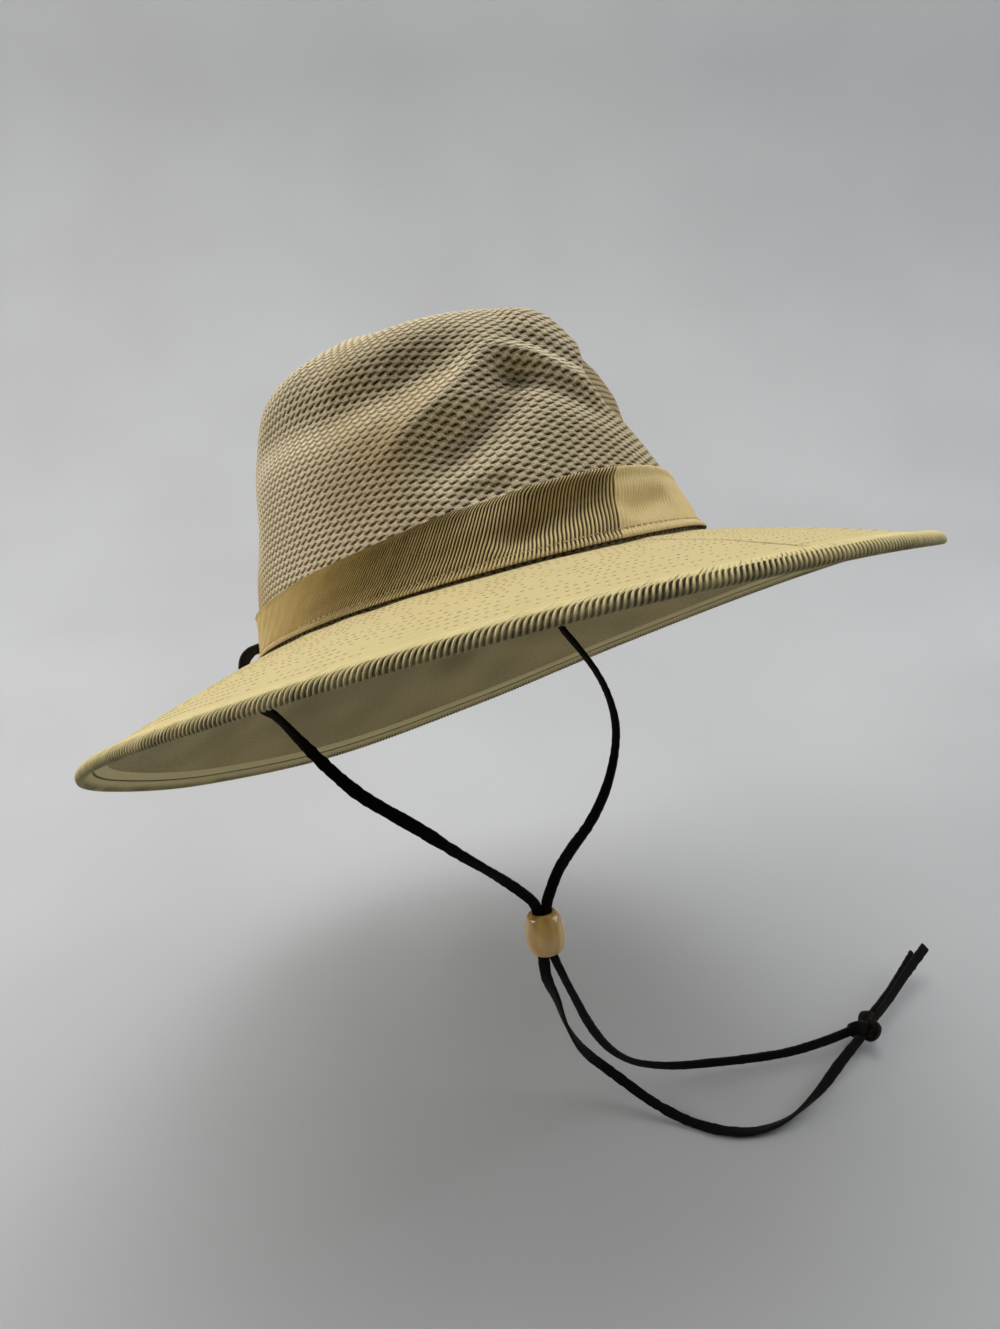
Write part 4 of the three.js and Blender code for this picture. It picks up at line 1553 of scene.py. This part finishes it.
@dataclass
class RibbedEdge:
    """Ribbed rolled edge of the brim and the welt that ends it underneath.

    The crest of the roll, its outer face, the foot of the ribs and the welt are rows of the brim's
    profile, turned into lengths along its cross-section.
    """

    form: BrimForm
    twill: bpy.types.Material
    rows_at: tuple = (5.0, 6.2, 9.5, 10.02)
    ribs: int = 596
    rib_depth: float = 0.95
    half_breadth: float = 163.0
    half_length: float = 179.0
    radius: float = 171.0
    top_lean: float = math.tan(math.radians(40))
    face_lean: float = math.tan(math.radians(18))
    lean_swing: float = 0.35
    crest_relief: float = 0.86
    welt_depth: float = 0.5
    welt_rows: tuple = (-1.4, -0.7, -0.3, 0.0, 0.3, 0.8)
    crest_at: float = field(init=False)
    face_at: float = field(init=False)
    foot_at: float = field(init=False)
    welt_at: float = field(init=False)

    def __post_init__(self) -> None:
        """Find the places across the edge."""
        places = [self.form.length_at(row) for row in self.rows_at]
        self.crest_at, self.face_at, self.foot_at, self.welt_at = places

    def lengths(self, start: float, end: float) -> np.ndarray:
        """Rows of the mesh, as lengths along the cross-section, closest at the roll and the welt."""
        stops = [np.linspace(start, self.crest_at, 12, endpoint=False),
                 np.linspace(self.crest_at, self.face_at, 5, endpoint=False),
                 np.linspace(self.face_at, self.foot_at, 8), self.welt_at + np.array(self.welt_rows), [end]]
        return np.concatenate(stops)[:, None]

    def leant(self, base: np.ndarray, length: np.ndarray) -> np.ndarray:
        """Turn of each rib at each row: steep on the upper side, and less so over the roll.

        Args:
            base: Turn of each column on the edge's outer face.
            length: Length along the cross-section of each row.

        Returns:
            Turns by row and column.
        """
        steeper = smooth_step(self.face_at, self.crest_at - 1.5, length)
        lean = (self.face_lean * (1 + self.lean_swing * np.cos(base))
                + (self.top_lean - self.face_lean) * steeper)
        return base + (length - self.face_at) * lean / self.radius

    def strength(self, base: np.ndarray, length: np.ndarray, start: float,
                 ragged: np.ndarray) -> np.ndarray:
        """How strong the ribs are, from 0 where they run out to 1.

        Args:
            base: Turn of each column on the edge's outer face.
            length: Length along the cross-section of each row.
            start: Length where the ribs start.
            ragged: How much sooner or later each rib runs out.

        Returns:
            The strength by row and column.
        """
        strong = smooth_step(start, start + 5.0, length + 2 * ragged) * smooth_step(
            self.foot_at + 0.8, self.foot_at - 0.6, length)
        patches = np.stack(np.broadcast_arrays(base * 60, length), -1)
        return np.clip(strong * (0.86 + 0.14 * soft_noise(patches, 9, SEED + 4)), 0, 1)

    def build(self, start: float, end: float) -> bpy.types.Object:
        """Make the edge.

        Args:
            start: Length along the cross-section where it leaves the upper side.
            end: Where it joins the underside.

        Returns:
            The edge's object.
        """
        length = self.lengths(start, end)
        numbers, side_crest = rib_columns(self.ribs, EDGE_RIB)
        top_crest = rib_columns(self.ribs, EDGE_RIB_TOP)[1]
        base = oval_columns(self.half_breadth, self.half_length, self.ribs)(numbers)[None, :]
        ragged = 0.9 * soft_noise(np.stack([base[0] * self.radius, base[0] * 0], -1), 5, SEED + 6)
        over = smooth_step(self.crest_at - 0.2, self.crest_at - 2.0, length + ragged)
        low = smooth_step(self.face_at - 0.2, self.face_at + 1.6, length)
        strength = self.strength(base, length, start, ragged)
        welt = np.exp(-(((length - self.welt_at) / 0.35) ** 2))
        hump = side_crest * (1 - over) + top_crest * over
        # Painted shade: the lower part of the face and the welt's crease get low relief, which the twill
        # paints dark.
        crest = hump * (1 - low) + (0.24 + 0.26 * hump / self.crest_relief) * low
        relief = (self.crest_relief + (crest - self.crest_relief) * strength) * (1 - 0.95 * welt)
        rise = (self.rib_depth * (hump - 0.75) * strength * (1 - 0.45 * over) * (1 - 0.4 * low)
                - self.welt_depth * welt)
        turn, length, rise = np.broadcast_arrays(self.leant(base, length), length, rise)
        cloth = np.stack([np.broadcast_to(base, turn.shape) * self.radius, length], -1)
        parts = MeshParts()
        parts.add_grid(to_row(self.form.raised(turn, length, rise)), cloth, relief)
        return dress(parts.build("brim_edge", self.twill), "ribbed_cotton", "brim")


@dataclass
class StitchedBrim:
    """Brim of smooth quilted cloth with rows of stitches, two lace slots and a ribbed rolled edge."""

    form: BrimForm
    twill: bpy.types.Material
    thread: bpy.types.Material
    edge_twill: bpy.types.Material
    roll_rows: tuple = (3.68, 10.35)
    top_grid: tuple = (540, 76)
    under_grid: tuple = (360, 26)
    top_relief: float = 0.84
    under_relief: float = 0.5
    cloth_radius: float = 150.0
    patch_radius: float = 130.0
    seam_radius: float = 90.0
    row_gap: float = 4.6
    first_row: float = 7.0
    last_row: float = 67.0
    quilt_end: float = 74.0
    stitch_gap: float = 2.8
    stitch_parts: tuple = (0.48, 0.68)
    stitch_tilt: float = 0.25
    stitches_shown: float = 0.72
    slot_turns: tuple = (122, 238)
    slot_outset: float = 9.5
    slot_size: tuple = (8.0, 4.6)
    slot_radius: float = 99.0
    binding_size: float = 0.75
    binding_stands: float = 0.45
    cord_depth: float = 0.08
    cord_turns: int = 22
    slot_clearance: tuple = (8.0, 5.0)
    stitch_width: float = 0.36
    stitch_rise: float = 0.13

    def build(self) -> list[bpy.types.Object]:
        """Make the brim, its edge and the rows of stitches on it."""
        parts = MeshParts()
        roll_start, roll_end = (self.form.length_at(row) for row in self.roll_rows)
        self.add_top(parts, roll_start)
        self.add_underside(parts, roll_end)
        self.add_inner_edge(parts)
        for degrees in self.slot_turns:
            self.add_slot_binding(parts, math.radians(degrees))
        brim = dress(parts.build("brim_twill", self.twill), "cotton", "brim")
        edge = RibbedEdge(self.form, self.edge_twill).build(roll_start, roll_end)
        return [brim, edge, self.stitches()]

    def patches(self, turn: np.ndarray, length: np.ndarray, size: float, seed: int) -> np.ndarray:
        """Gentle random relief over the brim."""
        return soft_noise(np.stack([turn * self.patch_radius, length], -1), size, seed)

    def grid(self, around: int, start: float, end: float, rows: int) -> tuple[np.ndarray, np.ndarray]:
        """Turn and length along the cross-section of a grid's points.

        Args:
            around: Points round the brim.
            start: Length along the cross-section where the grid starts.
            end: Where it ends.
            rows: Points across the brim.

        Returns:
            Both by row and column.
        """
        turn = np.linspace(0, TURN, around, endpoint=False)
        return tuple(np.broadcast_arrays(turn, np.linspace(start, end, rows)[:, None]))

    def add_sheet(self, parts: MeshParts, turn: np.ndarray, length: np.ndarray, rise: np.ndarray,
                  relief: float, outset: np.ndarray) -> None:
        """Add a smooth stretch of the brim, flat at both its edges and open at the lace slots.

        Args:
            parts: The mesh to add to.
            turn: Turn of each point.
            length: Length along the cross-section of each point.
            rise: Relief of the cloth.
            relief: Usual value of the relief that the finish reads.
            outset: How far each point lies out from the crown.
        """
        edge = smooth_step(0, 2, length - length[0, 0]) * smooth_step(0, 2, length[-1, 0] - length)
        cloth = np.stack([turn * self.cloth_radius, length], -1)
        clear = np.ones(turn.shape, bool)
        for degrees in self.slot_turns:
            along = (turn - math.radians(degrees)) * self.slot_radius
            clear &= ~((np.abs(along) < self.slot_size[0] / 2)
                       & (np.abs(outset - self.slot_outset) < self.slot_size[1] / 2))
        points = self.form.raised(turn, length, rise * edge)
        # Painted shade: the cloth is painted a little darker where it sinks and paler where it stands up.
        parts.add_grid(to_row(points), cloth, relief + 0.4 * rise, keep=clear)

    def add_top(self, parts: MeshParts, end: float) -> None:
        """Add the quilted upper side, as far as the edge."""
        turn, length = self.grid(self.top_grid[0], 0.0, end, self.top_grid[1])
        rise = self.quilting(turn, length)
        self.add_sheet(parts, turn, length, rise, self.top_relief, length - KNIT_WALL)

    def add_underside(self, parts: MeshParts, start: float) -> None:
        """Add the plain underside, from the edge in to the crown.

        Args:
            parts: The mesh to add to.
            start: Length along the cross-section where the edge ends.
        """
        total = self.form.length[-1]
        turn, length = self.grid(self.under_grid[0], start, total, self.under_grid[1])
        rise = 0.12 * self.patches(turn, length, 46, SEED + 5)
        self.add_sheet(parts, turn, length, rise, self.under_relief, total - length - KNIT_WALL)

    def quilting(self, turn: np.ndarray, length: np.ndarray) -> np.ndarray:
        """Soft rows between the stitch lines, with a gentle unevenness.

        Args:
            turn: Turn of each point.
            length: Length along the cross-section of each point.

        Returns:
            How far the cloth stands up at each.
        """
        wave = np.cos((length - self.first_row) / self.row_gap * TURN)
        inside = smooth_step(self.first_row - 3, self.first_row, length) * smooth_step(
            self.quilt_end, self.quilt_end - 4, length)
        return -0.1 * wave * inside + 0.16 * self.patches(turn, length, 34, SEED + 3)

    def add_inner_edge(self, parts: MeshParts) -> None:
        """Add the inner edge of the brim, inside the crown's foot.

        Args:
            parts: The mesh to add to.
        """
        turn = np.linspace(0, TURN, self.under_grid[0], endpoint=False)
        ends = (self.form.length[-1], 0.0)
        rows = [self.form.surface(turn, np.full(turn.shape, length)) for length in ends]
        cloth = np.stack(np.broadcast_arrays(turn * self.seam_radius, np.array([[0.0], [BRIM_WALL]])), -1)
        parts.add_grid(to_row(np.stack(rows)), cloth, 0.6)

    def add_slot_binding(self, parts: MeshParts, turn: float) -> None:
        """Add the corded edge of one lace slot, from the upper side through to the lower.

        Args:
            parts: The mesh to add to.
            turn: Turn of the slot's middle.
        """
        ring = np.linspace(0, TURN, 44, endpoint=False)
        tube = np.linspace(0, TURN, 10, endpoint=False)
        rim = rounded_box(ring, *self.slot_size, 0.6)
        corded = self.cord_depth * np.cos(ring * self.cord_turns)[:, None]
        reach = (self.binding_size + corded) * np.cos(tube)
        depth = -BRIM_WALL / 2 + (BRIM_WALL / 2 + self.binding_stands + corded) * np.sin(tube)
        flat = rim[:, None] * (1 + reach[..., None] / np.hypot(rim[:, 0], rim[:, 1])[:, None, None])
        place = turn + flat[..., 0] / self.slot_radius
        points = self.form.raised(place, flat[..., 1] + self.slot_outset + KNIT_WALL, depth)
        parts.add_grid(to_row(np.concatenate([points, points[:1]])), np.concatenate([flat, flat[:1]]), 0.7)

    def stitches(self) -> bpy.types.Object:
        """Rows of short stitches round the brim."""
        rng = np.random.default_rng(SEED)
        starts, ends, outs = [], [], []
        for row in np.arange(self.first_row, self.last_row + 0.1, self.row_gap):
            half = np.array([CROWN_HALF_BREADTH, CROWN_HALF_LENGTH]) + row
            count = round(TURN * math.hypot(*half) / math.sqrt(2) / self.stitch_gap)
            columns = oval_columns(half[0], half[1], count)
            first = np.arange(count) + rng.uniform() + rng.uniform(-0.07, 0.07, count)
            length = row + rng.uniform(-0.12, 0.12, count)
            begin, finish = columns(first), columns(first + rng.uniform(*self.stitch_parts, count))
            share = self.stitches_shown + 0.4 * self.patches(begin, length, 30, SEED + 8)
            shown = (rng.uniform(0, 1, count) < share) & self.away_from_slots(begin, length)
            begin, finish, length = begin[shown], finish[shown], length[shown]
            out = self.form.normal((begin + finish) / 2, length)
            lift = self.quilting(begin, length)[:, None] * out
            starts.append(self.form.surface(begin, length - self.stitch_tilt) + lift)
            ends.append(self.form.surface(finish, length + self.stitch_tilt) + lift)
            outs.append(out)
        start, end, out = (np.concatenate(rows) for rows in (starts, ends, outs))
        made = stitch_mesh("brim_stitches", start, end, out, self.stitch_width, self.stitch_rise,
                           self.thread)
        return dress(made, "cotton")

    def away_from_slots(self, turn: np.ndarray, length: np.ndarray) -> np.ndarray:
        """Which stitches keep clear of the lace slots.

        Args:
            turn: Turn where each stitch starts.
            length: Length along the cross-section of each.

        Returns:
            True for those that do.
        """
        clear = np.ones(len(turn), bool)
        for degrees in self.slot_turns:
            along = ((turn - math.radians(degrees) + math.pi) % TURN - math.pi) * 100
            clear &= ~((np.abs(along) < self.slot_clearance[0])
                       & (np.abs(length - self.slot_outset) < self.slot_clearance[1]))
        return clear


class Softbox(NamedTuple):
    """Square soft light: where it stands, what it points at, its width, watts and tint."""

    name: str
    place: tuple
    aim: tuple
    size: float
    watts: float
    tint: tuple


MIDDLE = (0.0, 0.0, -0.03)
SOFTBOXES = (
    Softbox("overhead", (0.33, 0.5, 1.05), MIDDLE, 2.0, 22.5, (1.0, 0.985, 0.945)),
    Softbox("backdrop", (0.45, 0.58, 1.5), (0.75, 0.96, 0.1), 0.8, 5.5, (1.0, 0.99, 0.98)),
    Softbox("side_right", (-0.98, 0.66, 0.5), MIDDLE, 0.8, 11.0, (1.0, 0.97, 0.92)),
    Softbox("side_left", (0.98, -0.6, 0.5), MIDDLE, 0.8, 5.0, (0.97, 0.98, 1.0)),
)


@dataclass
class Studio:
    """Pale floor that sweeps up behind, soft light and the camera; its sizes are in metres."""

    floor_tone: Tone = Tone(178, 179, 181)
    floor_clouds: Tone = Tone(185, 187, 189)
    air_tone: Tone = Tone(196, 204, 214)
    air_strength: float = 0.18
    floor_front: float = -2.5
    floor_back: float = 0.95
    bend: float = 0.45
    bend_steps: int = 24
    wall_top: float = 2.6
    half_width: float = 3.0

    def set_camera(self) -> None:
        """Set the camera above the rim, in front and to the wearer's right."""
        data = bpy.data.cameras.new("camera")
        data.sensor_fit = "VERTICAL"
        data.sensor_height = SENSOR_HEIGHT
        data.lens = LENS_LENGTH
        data.clip_start = 0.01
        camera = self.put(data, CAMERA_PLACE, Vector(CAMERA_AIM))
        bpy.context.scene.camera = camera

    def set_stage(self) -> None:
        """Lay the floor that curves up into a wall behind the hat."""
        turn = np.linspace(0, math.pi / 2, self.bend_steps)
        start = self.floor_back - self.bend
        out = np.array([self.floor_front, start, *(start + self.bend * np.sin(turn)), self.floor_back])
        up = np.array([0.0, 0.0, *(self.bend - self.bend * np.cos(turn)), self.wall_top])
        away = np.array(Vector(CAMERA_AIM[:2]).normalized())
        aside = np.array((away[1], -away[0]))
        wide = np.array([[-self.half_width], [self.half_width]])
        flat = out[:, None, None] * away + wide * aside
        height = np.broadcast_to(FLOOR_HEIGHT + up[:, None, None], (len(up), 2, 1))
        parts = MeshParts()
        parts.add_grid(np.concatenate([flat, height], -1), around=False)
        bench = NodeBench("paper_floor")
        clouds = bench.noise(bench.place(), 5.0, 2.0)
        bench.paint(bench.blend(clouds.between(0.2, 0.8), self.floor_tone, self.floor_clouds))
        bench.set(Roughness=0.75, Specular_IOR_Level=0.2)
        parts.build("paper_sweep", bench.material)

    def set_lights(self) -> None:
        """Set the softboxes and the pale air between them."""
        world = bpy.data.worlds.new("air")
        world.use_nodes = True
        back = world.node_tree.nodes["Background"]
        back.inputs["Color"].default_value = self.air_tone.linear()
        back.inputs["Strength"].default_value = self.air_strength
        bpy.context.scene.world = world
        bpy.context.scene.view_settings.view_transform = "Standard"
        for box in SOFTBOXES:
            data = bpy.data.lights.new(box.name, "AREA")
            data.size, data.energy, data.color = box.size, box.watts, box.tint
            self.put(data, box.place, Vector(box.aim) - Vector(box.place))

    @staticmethod
    def put(data: bpy.types.ID, place: tuple, way: Vector) -> bpy.types.Object:
        """Put a camera or a light at a place, pointed a way.

        Args:
            data: The camera or the light.
            place: Where it stands.
            way: The direction it points in.

        Returns:
            Its object.
        """
        made = bpy.data.objects.new(data.name, data)
        made.location = place
        made.rotation_euler = way.to_track_quat("-Z", "Y").to_euler()
        bpy.context.scene.collection.objects.link(made)
        return made


BAND_TWILL = TwillFinish(Cut.BAND, Tone(220, 197, 142), Tone(46, 33, 8), Tone(206, 182, 122))
BRIM_TWILL = TwillFinish(Cut.BRIM, Tone(212, 195, 142), Tone(104, 80, 36), Tone(208, 189, 130))
EDGE_TWILL = TwillFinish(Cut.EDGE, Tone(216, 200, 146), Tone(46, 37, 17), Tone(208, 190, 132))
BAND_THREAD = ThreadFinish("band_thread", Tone(196, 176, 116), Tone(150, 130, 78))
# The brim thread is a darker khaki of its own, darkened further as painted shade of the stitches' sunk ends.
SHADED_BRIM_THREAD = ThreadFinish("brim_thread_shaded", Tone(150, 124, 76), Tone(104, 80, 40))


def main() -> None:
    """Set the camera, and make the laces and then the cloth."""
    logging.basicConfig(level=logging.INFO, format="%(message)s")
    studio = Studio()
    studio.set_camera()
    brim_form, crown_form = BrimForm(), CrownForm()
    brim_thread_shaded, edge_twill = SHADED_BRIM_THREAD.material(), EDGE_TWILL.material()
    made = [
        *ChinLace(brim_form, SuedeFinish().material(), WoodFinish().material()).build(),
        KnitCrown(crown_form, KnitFinish().material()).build(),
        *HatBand(crown_form, BAND_TWILL.material(), BAND_THREAD.material()).build(),
        *StitchedBrim(brim_form, BRIM_TWILL.material(), brim_thread_shaded, edge_twill).build(),
    ]
    for piece in made:
        LOG.info("%s: %d faces", piece.name, len(piece.data.polygons))
    studio.set_stage()
    studio.set_lights()


if __name__ == "__main__":
    main()
